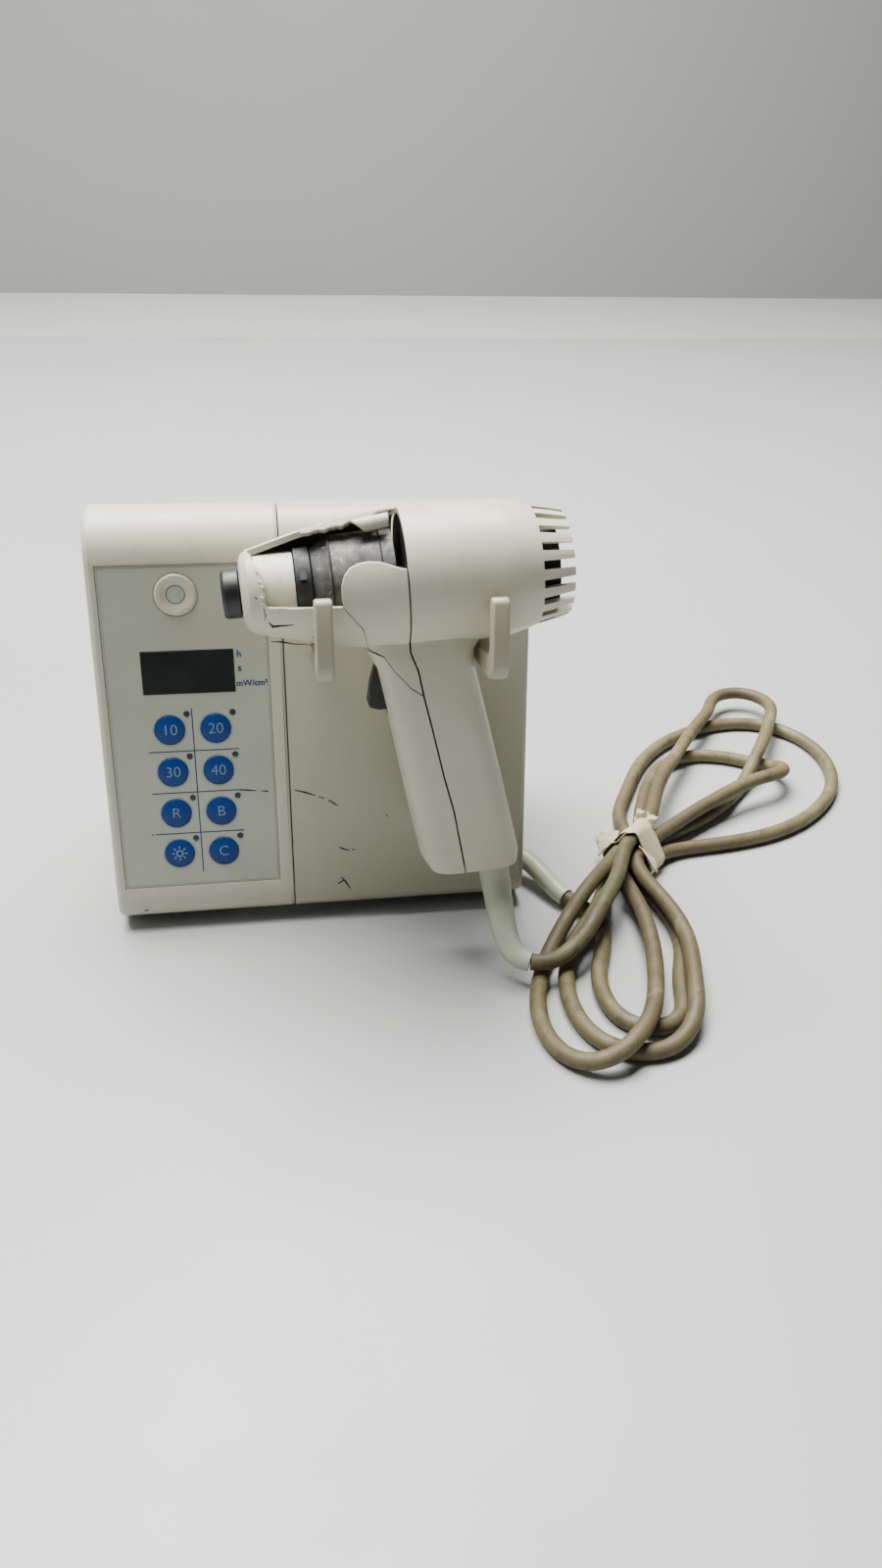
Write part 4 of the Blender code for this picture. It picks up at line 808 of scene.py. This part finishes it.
def make_console_marks():
    """Dark scuffs on the face: a dashed scratch across both shells and small nicks."""
    out = FACE.to_3x3() @ Vector((0.0, -1.0, 0.0))
    strokes = (                     # x, z and width of each point
        ((54.8, 62.1, 0.35), (58.0, 61.8, 0.5), (61.7, 61.3, 0.2)),
        ((63.4, 61.2, 0.25), (66.6, 60.7, 0.4)),
        ((77.6, 60.8, 0.3), (82.2, 59.4, 0.55), (86.3, 57.7, 0.3)),
        ((87.4, 57.2, 0.25), (90.0, 56.4, 0.35)),
        ((91.6, 55.5, 0.3), (94.2, 53.6, 0.5), (95.9, 52.5, 0.2)),
        ((95.6, 33.2, 0.3), (97.4, 32.4, 0.5), (99.9, 31.4, 0.25)),
        ((101.2, 31.9, 0.35), (102.6, 31.6, 0.2)),
        ((96.2, 19.0, 0.25), (98.0, 16.6, 0.6), (100.2, 12.9, 0.2)),
        ((94.6, 15.9, 0.3), (97.6, 17.6, 0.45)),
        ((116.0, 47.0, 0.3), (117.2, 46.4, 0.2)), ((17.0, 44.0, 0.4), (17.8, 43.6, 0.3)),
        ((11.0, 9.0, 0.5), (13.0, 9.4, 0.3)),
    )
    bm = bmesh.new()
    for line in strokes:
        on_overlay = line[-1][0] < PANEL_X[1] and line[0][1] > PANEL_Z[0]
        depth = PANEL_FRONT - 0.03 if on_overlay else -0.03
        points = [at(FACE, x, depth, z) for x, z, _ in line]
        stroke(bm, points, [1.5 * width for _, _, width in line], out)
    ink_thick(add("face_scratches", bm, "scratch", "console"))


def make_gun_marks():
    """The gouge and small cracks on the nose cover, and bright chips along its broken edge."""
    out = GUN.to_3x3() @ Vector((0.0, -1.0, 0.0))
    dark = (                        # station, height and width of each point
        ((15.7, -8.9, 0.3), (17.0, -10.3, 2.0), (20.5, -10.4, 1.0), (24.8, -10.4, 0.15)),
        ((15.4, -19.4, 0.25), (19.4, -19.9, 0.7), (24.0, -21.2, 0.45), (31.3, -22.4, 0.2)),
        ((31.5, -13.0, 0.15), (31.2, -16.5, 0.3), (31.6, -19.0, 0.1)),
        ((14.5, -3.4, 0.3), (14.9, -6.0, 0.45), (14.3, -8.6, 0.2)),
        ((11.6, 1.2, 0.2), (12.6, 0.2, 0.4)),
        ((21.0, 6.0, 0.1), (21.8, 6.2, 0.3)),
    )
    bm = bmesh.new()
    for line in dark:
        points = [on_barrel(station, height) for station, height, _ in line]
        stroke(bm, points, [width for _, _, width in line], out)
    ink_thick(add("nose_scratches", bm, "scratch", "handpiece"))
    bm = bmesh.new()
    chips = (                       # station, height, width
        (13.4, 9.6, 0.8), (14.0, 6.2, 1.1), (14.9, 4.2, 0.9), (14.4, 0.6, 1.2), (14.6, -1.8, 0.8),
    )
    for station, height, width in chips:
        line = [
            on_barrel(station - 0.9, height + 0.5, 0.07), on_barrel(station, height, 0.1),
            on_barrel(station + 0.5, height - 0.9, 0.07),
        ]
        stroke(bm, line, [0.15, width, 0.2], out)
    slivers = ((15.9, -3.6, 6.0), (23.5, -4.1, 9.0), (34.0, -4.5, 8.0))
    for station, height, length in slivers:
        line = [
            on_barrel(station + length * k / 4, height + 0.15 * math.sin(3 * k), 0.07)
            for k in range(5)
        ]
        stroke(bm, line, [0.2, 0.7, 0.45, 0.75, 0.2], out)
    ink_thick(add("nose_chips", bm, "chip", "handpiece"), 0.12)


def join_rows(bm, grid):
    """Faces between neighbouring rows of vertices."""
    for a, b in zip(grid, grid[1:]):
        for k in range(len(a) - 1):
            bm.faces.new((a[k], a[k + 1], b[k + 1], b[k]))


def join_rings(bm, rings):
    """Faces between neighbouring closed rings of vertices."""
    for a, b in zip(rings, rings[1:]):
        for k in range(len(a)):
            j = (k + 1) % len(a)
            bm.faces.new((a[k], a[j], b[j], b[k]))


def make_torn_shell():
    """What is left of the nose cover's top: a ragged lip, and the curl that was bent under it."""
    bm = bmesh.new()
    steps, rows = 40, 5
    grid = []
    for i in range(steps + 1):
        station = 30.5 + 34.0 * i / steps
        slow = noise.noise(Vector((station * 0.22, 3.7, 0.0)))
        quick = noise.noise(Vector((station, 1.0, 0.0)))
        rag = 0.5 + 0.5 * slow + 0.3 * quick
        swell = math.sin(math.pi * min(i / steps * 1.15 + 0.04, 1.0)) ** 0.5
        start, end = math.radians(96.0), math.radians(99.0 + 21.0 * rag * swell)
        dents = noise.noise(Vector((station * 0.4, 9.0, 0.0)))
        radius = barrel_radius(station) + 0.35 + 0.5 * dents
        row = []
        for k in range(rows + 1):
            angle = start + (end - start) * k / rows
            point = at(GUN, station, radius * math.cos(angle), radius * math.sin(angle))
            row.append(bm.verts.new(point))
        grid.append(row)
    join_rows(bm, grid)
    lip = add("torn_lip", bm, "torn", "handpiece")
    ink_thick(lip, 1.5)
    lip.modifiers["Body"].offset = -1.0

    bm = bmesh.new()
    around, along = 20, 12
    grid = []
    for i in range(along + 1):
        row = []
        for k in range(around + 1):
            angle = math.radians(-60.0 + 300.0 * k / around)
            start = 49.0 + 5.0 * (1 - math.sin(angle)) / 2
            station = start + (62.6 - start) * i / along
            radius = 2.35 + 0.12 * noise.noise(Vector((station * 0.5, k * 0.3, 0.0)))
            centre = barrel_radius(station) - 3.1
            y, z = -8.6 + radius * math.cos(angle), centre + radius * math.sin(angle)
            row.append(bm.verts.new(at(GUN, station, y, z)))
        grid.append(row)
    join_rows(bm, grid)
    bmesh.ops.recalc_face_normals(bm, faces=bm.faces)
    ink_thick(add("torn_curl", bm, "housing", "handpiece"), 0.7)


def make_lamp_details():
    """The crimped joint round the lamp's reflector, and the latch on the black ring."""
    bm = bmesh.new()
    sides, steps, bead = 6, 72, 0.32
    for station, radius in ((39.9, 18.5), (58.6, 19.2)):
        rings = []
        for k in range(sides):
            turn = math.tau * k / sides
            x, r = station + bead * math.cos(turn), radius + bead * math.sin(turn)
            ring = []
            for i in range(steps):
                angle = math.tau * i / steps
                ring.append(bm.verts.new(at(GUN, x, r * math.cos(angle), r * math.sin(angle))))
            rings.append(ring)
        join_rings(bm, rings + rings[:1])
    bmesh.ops.recalc_face_normals(bm, faces=bm.faces)
    add("lamp_crimps", bm, "scratch", "handpiece")
    bm = bmesh.new()
    turn = Matrix.Rotation(math.radians(62.0), 4, "X")
    low, high = (28.6, -2.4, 14.7), (31.2, 2.4, 15.4)
    centre = Matrix.Translation([(a + b) / 2 * MM for a, b in zip(low, high)])
    sizes = Matrix.Diagonal([(b - a) * MM for a, b in zip(low, high)] + [1.0])
    bmesh.ops.create_cube(bm, size=1.0, matrix=GUN @ turn @ centre @ sizes)
    bmesh.ops.bevel(bm, geom=bm.edges, offset=0.2 * MM, segments=2, affect="EDGES")
    add("ring_latch", bm, "latch", "handpiece")


def make_seam_lip():
    """The tongue that shows in the groove between the console's two shells."""
    shell = frame["nodes"]["left_shell"]
    bm = bmesh.new()
    bm.from_mesh(shell.data)
    tree = BVHTree.FromBMesh(bm)
    bm.free()
    x = SEAM_X - 3.0                # where the shell's outline is read
    middle = at(TABLE, x, 45.0, 80.0)
    left, right = (SEAM_X - 0.74 - x) * MM, (SEAM_X + 0.3 - x) * MM
    steps, sunk = 220, 0.6 * MM
    bm = bmesh.new()
    grid = []
    for i in range(steps + 1):
        angle = math.radians(-148.0 + 258.0 * i / steps)
        away = Vector((0.0, -math.cos(angle), math.sin(angle)))
        hit = tree.ray_cast(middle + away * 0.3, -away)[0]
        sides = [hit - away * sunk + Vector((side, 0.0, 0.0)) for side in (left, right)]
        grid.append([bm.verts.new(point) for point in sides])
    join_rows(bm, grid)
    bmesh.ops.recalc_face_normals(bm, faces=bm.faces)
    # the lip takes the darker housing copy: painted shade of the groove
    ink_thick(add("seam_lip", bm, "housing_painted_shade", "console"), 0.5)


# ---------------------------------------------------------------- tape
def sheet(name, root, tip, bulge, crinkle, seed, ragged=0.2):
    """A small creased sheet of tape from a root edge to a ragged tip edge, in the table frame."""
    root, tip = [[Vector(p) for p in edge] for edge in (root, tip)]
    out = (tip[0] - root[0]).cross(root[1] - root[0]).normalized()
    if out.z < 0:
        out = -out
    long, wide = 14, 12
    bm = bmesh.new()
    grid = []
    for i in range(long + 1):
        row = []
        for k in range(wide + 1):
            v = k / wide
            reach = 1.0 + ragged * noise.noise(Vector((v * 5.0, seed, 2.0)))
            u = i / long * reach
            point = (root[0].lerp(root[1], v)).lerp(tip[0].lerp(tip[1], v), u)
            point += out * bulge * math.sin(math.pi * min(u, 1.0) * 0.8)
            crease = noise.noise(Vector((u * 2.6, v * 4.5, seed)))
            point += out * crinkle * crease * min(u * 3.0, 1.0)
            row.append(bm.verts.new(at(TABLE, *point)))
        grid.append(row)
    join_rows(bm, grid)
    piece = add(name, bm, "tape", "console", 60.0)
    ink_thick(piece, 0.35)


def make_sleeve():
    """Tape wound round the bundle, with a creased surface and a wavy lower edge."""
    corners = (STRANDS["third_back"], STRANDS["gun"], STRANDS["third"])
    long, around = 16, 96
    side = math.atan2(corners[1][1] - corners[0][1], corners[0][0])
    limits = (math.pi / 2 - side, math.pi / 2 + side)
    bm = bmesh.new()
    grid = []
    for i in range(long + 1):
        row = []
        for k in range(around):
            turn = -math.pi / 2 + math.tau * k / around
            corner = corners[sum(turn > limit for limit in limits)]
            crease = noise.noise(Vector((math.cos(turn) * 1.3, math.sin(turn) * 1.3, i * 0.16)))
            reach = 4.75 + 0.45 * crease
            edge = -8.6 + 1.9 * math.sin(turn * 2.0 + 0.6) + 0.5 * math.sin(turn * 7.0)
            step = edge + (6.4 + 0.8 * math.sin(turn * 3.0) - edge) * i / long
            across = corner[0] + reach * math.cos(turn)
            height = corner[1] + reach * math.sin(turn)
            x = TIE_CENTRE[0] + step * TIE_ALONG[0] + across * TIE_ACROSS[0]
            y = TIE_CENTRE[1] + step * TIE_ALONG[1] + across * TIE_ACROSS[1]
            row.append(bm.verts.new(at(TABLE, x, y, max(height, 0.35))))
        grid.append(row)
    join_rings(bm, grid)
    bmesh.ops.recalc_face_normals(bm, faces=bm.faces)
    band = add("tape_band", bm, "tape", "console", 50.0)
    ink_thick(band, 0.3)
    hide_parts("lead_tape")
    return band


def make_tape():
    """The band of tape round the bundle, its folded-back end, a hanging tip and a crumpled tuft."""
    band = make_sleeve()
    sheet(
        "tape_flap", ((231.0, 32.0, 17.0), (227.5, 22.5, 17.0)),
        ((222.5, 39.0, 9.5), (220.5, 24.0, 8.0)), bulge=1.6, crinkle=1.6, seed=4.0,
    )
    sheet(
        "tape_tip", ((235.0, 13.5, 20.0), (243.6, 17.6, 10.5)),
        ((241.0, 7.6, 9.0), (244.5, 11.0, 6.4)), bulge=1.2, crinkle=0.9, seed=8.0,
    )
    sheet(
        "tape_tuft", ((237.5, 31.5, 22.8), (244.6, 26.4, 20.0)),
        ((240.6, 37.0, 25.5), (249.0, 30.5, 24.0)), bulge=1.6, crinkle=3.0, seed=15.0, ragged=0.5,
    )
    return band


# ---------------------------------------------------------------- stage
def stage_plane(name, corners, material):
    """A flat piece of the room."""
    bm = bmesh.new()
    bm.faces.new([bm.verts.new(c) for c in corners])
    mesh = bpy.data.meshes.new(name)
    bm.to_mesh(mesh)
    bm.free()
    mesh.materials.append(material)
    plane = bpy.data.objects.new(name, mesh)
    bpy.context.scene.collection.objects.link(plane)


def make_stage():
    """A pale table, its lighter far rim and a grey wall behind."""
    table = simple_grain("table_top", (0.41, 0.414, 0.41), (0.395, 0.399, 0.395), 0.42, 3.0, 0.03)
    rim = simple_grain("table_rim", (0.47, 0.475, 0.445), (0.45, 0.455, 0.425), 0.5, 5.0, 0.03)
    wall = simple_grain("wall", (0.27, 0.272, 0.262), (0.26, 0.262, 0.253), 0.7, 2.0, 0.02)
    near, far, edge, wide, high = -2.2, 1.46, 1.92, 3.0, 2.4
    for name, low, top, material in (
        ("table_plane", (near, 0), (far, 0), table), ("rim_plane", (far, 0), (edge, 0), rim),
        ("wall_plane", (edge, 0), (edge, high), wall),
    ):
        corners = ((-wide, *low), (wide, *low), (wide, *top), (-wide, *top))
        stage_plane(name, corners, material)


make_camera()
make_lights()
cord, cord_length, cord_start = make_cord()
dress_nodes()
make_prints()
make_console_marks()
make_gun_marks()
make_torn_shell()
make_lamp_details()
make_seam_lip()
tape = make_tape()
make_stage()
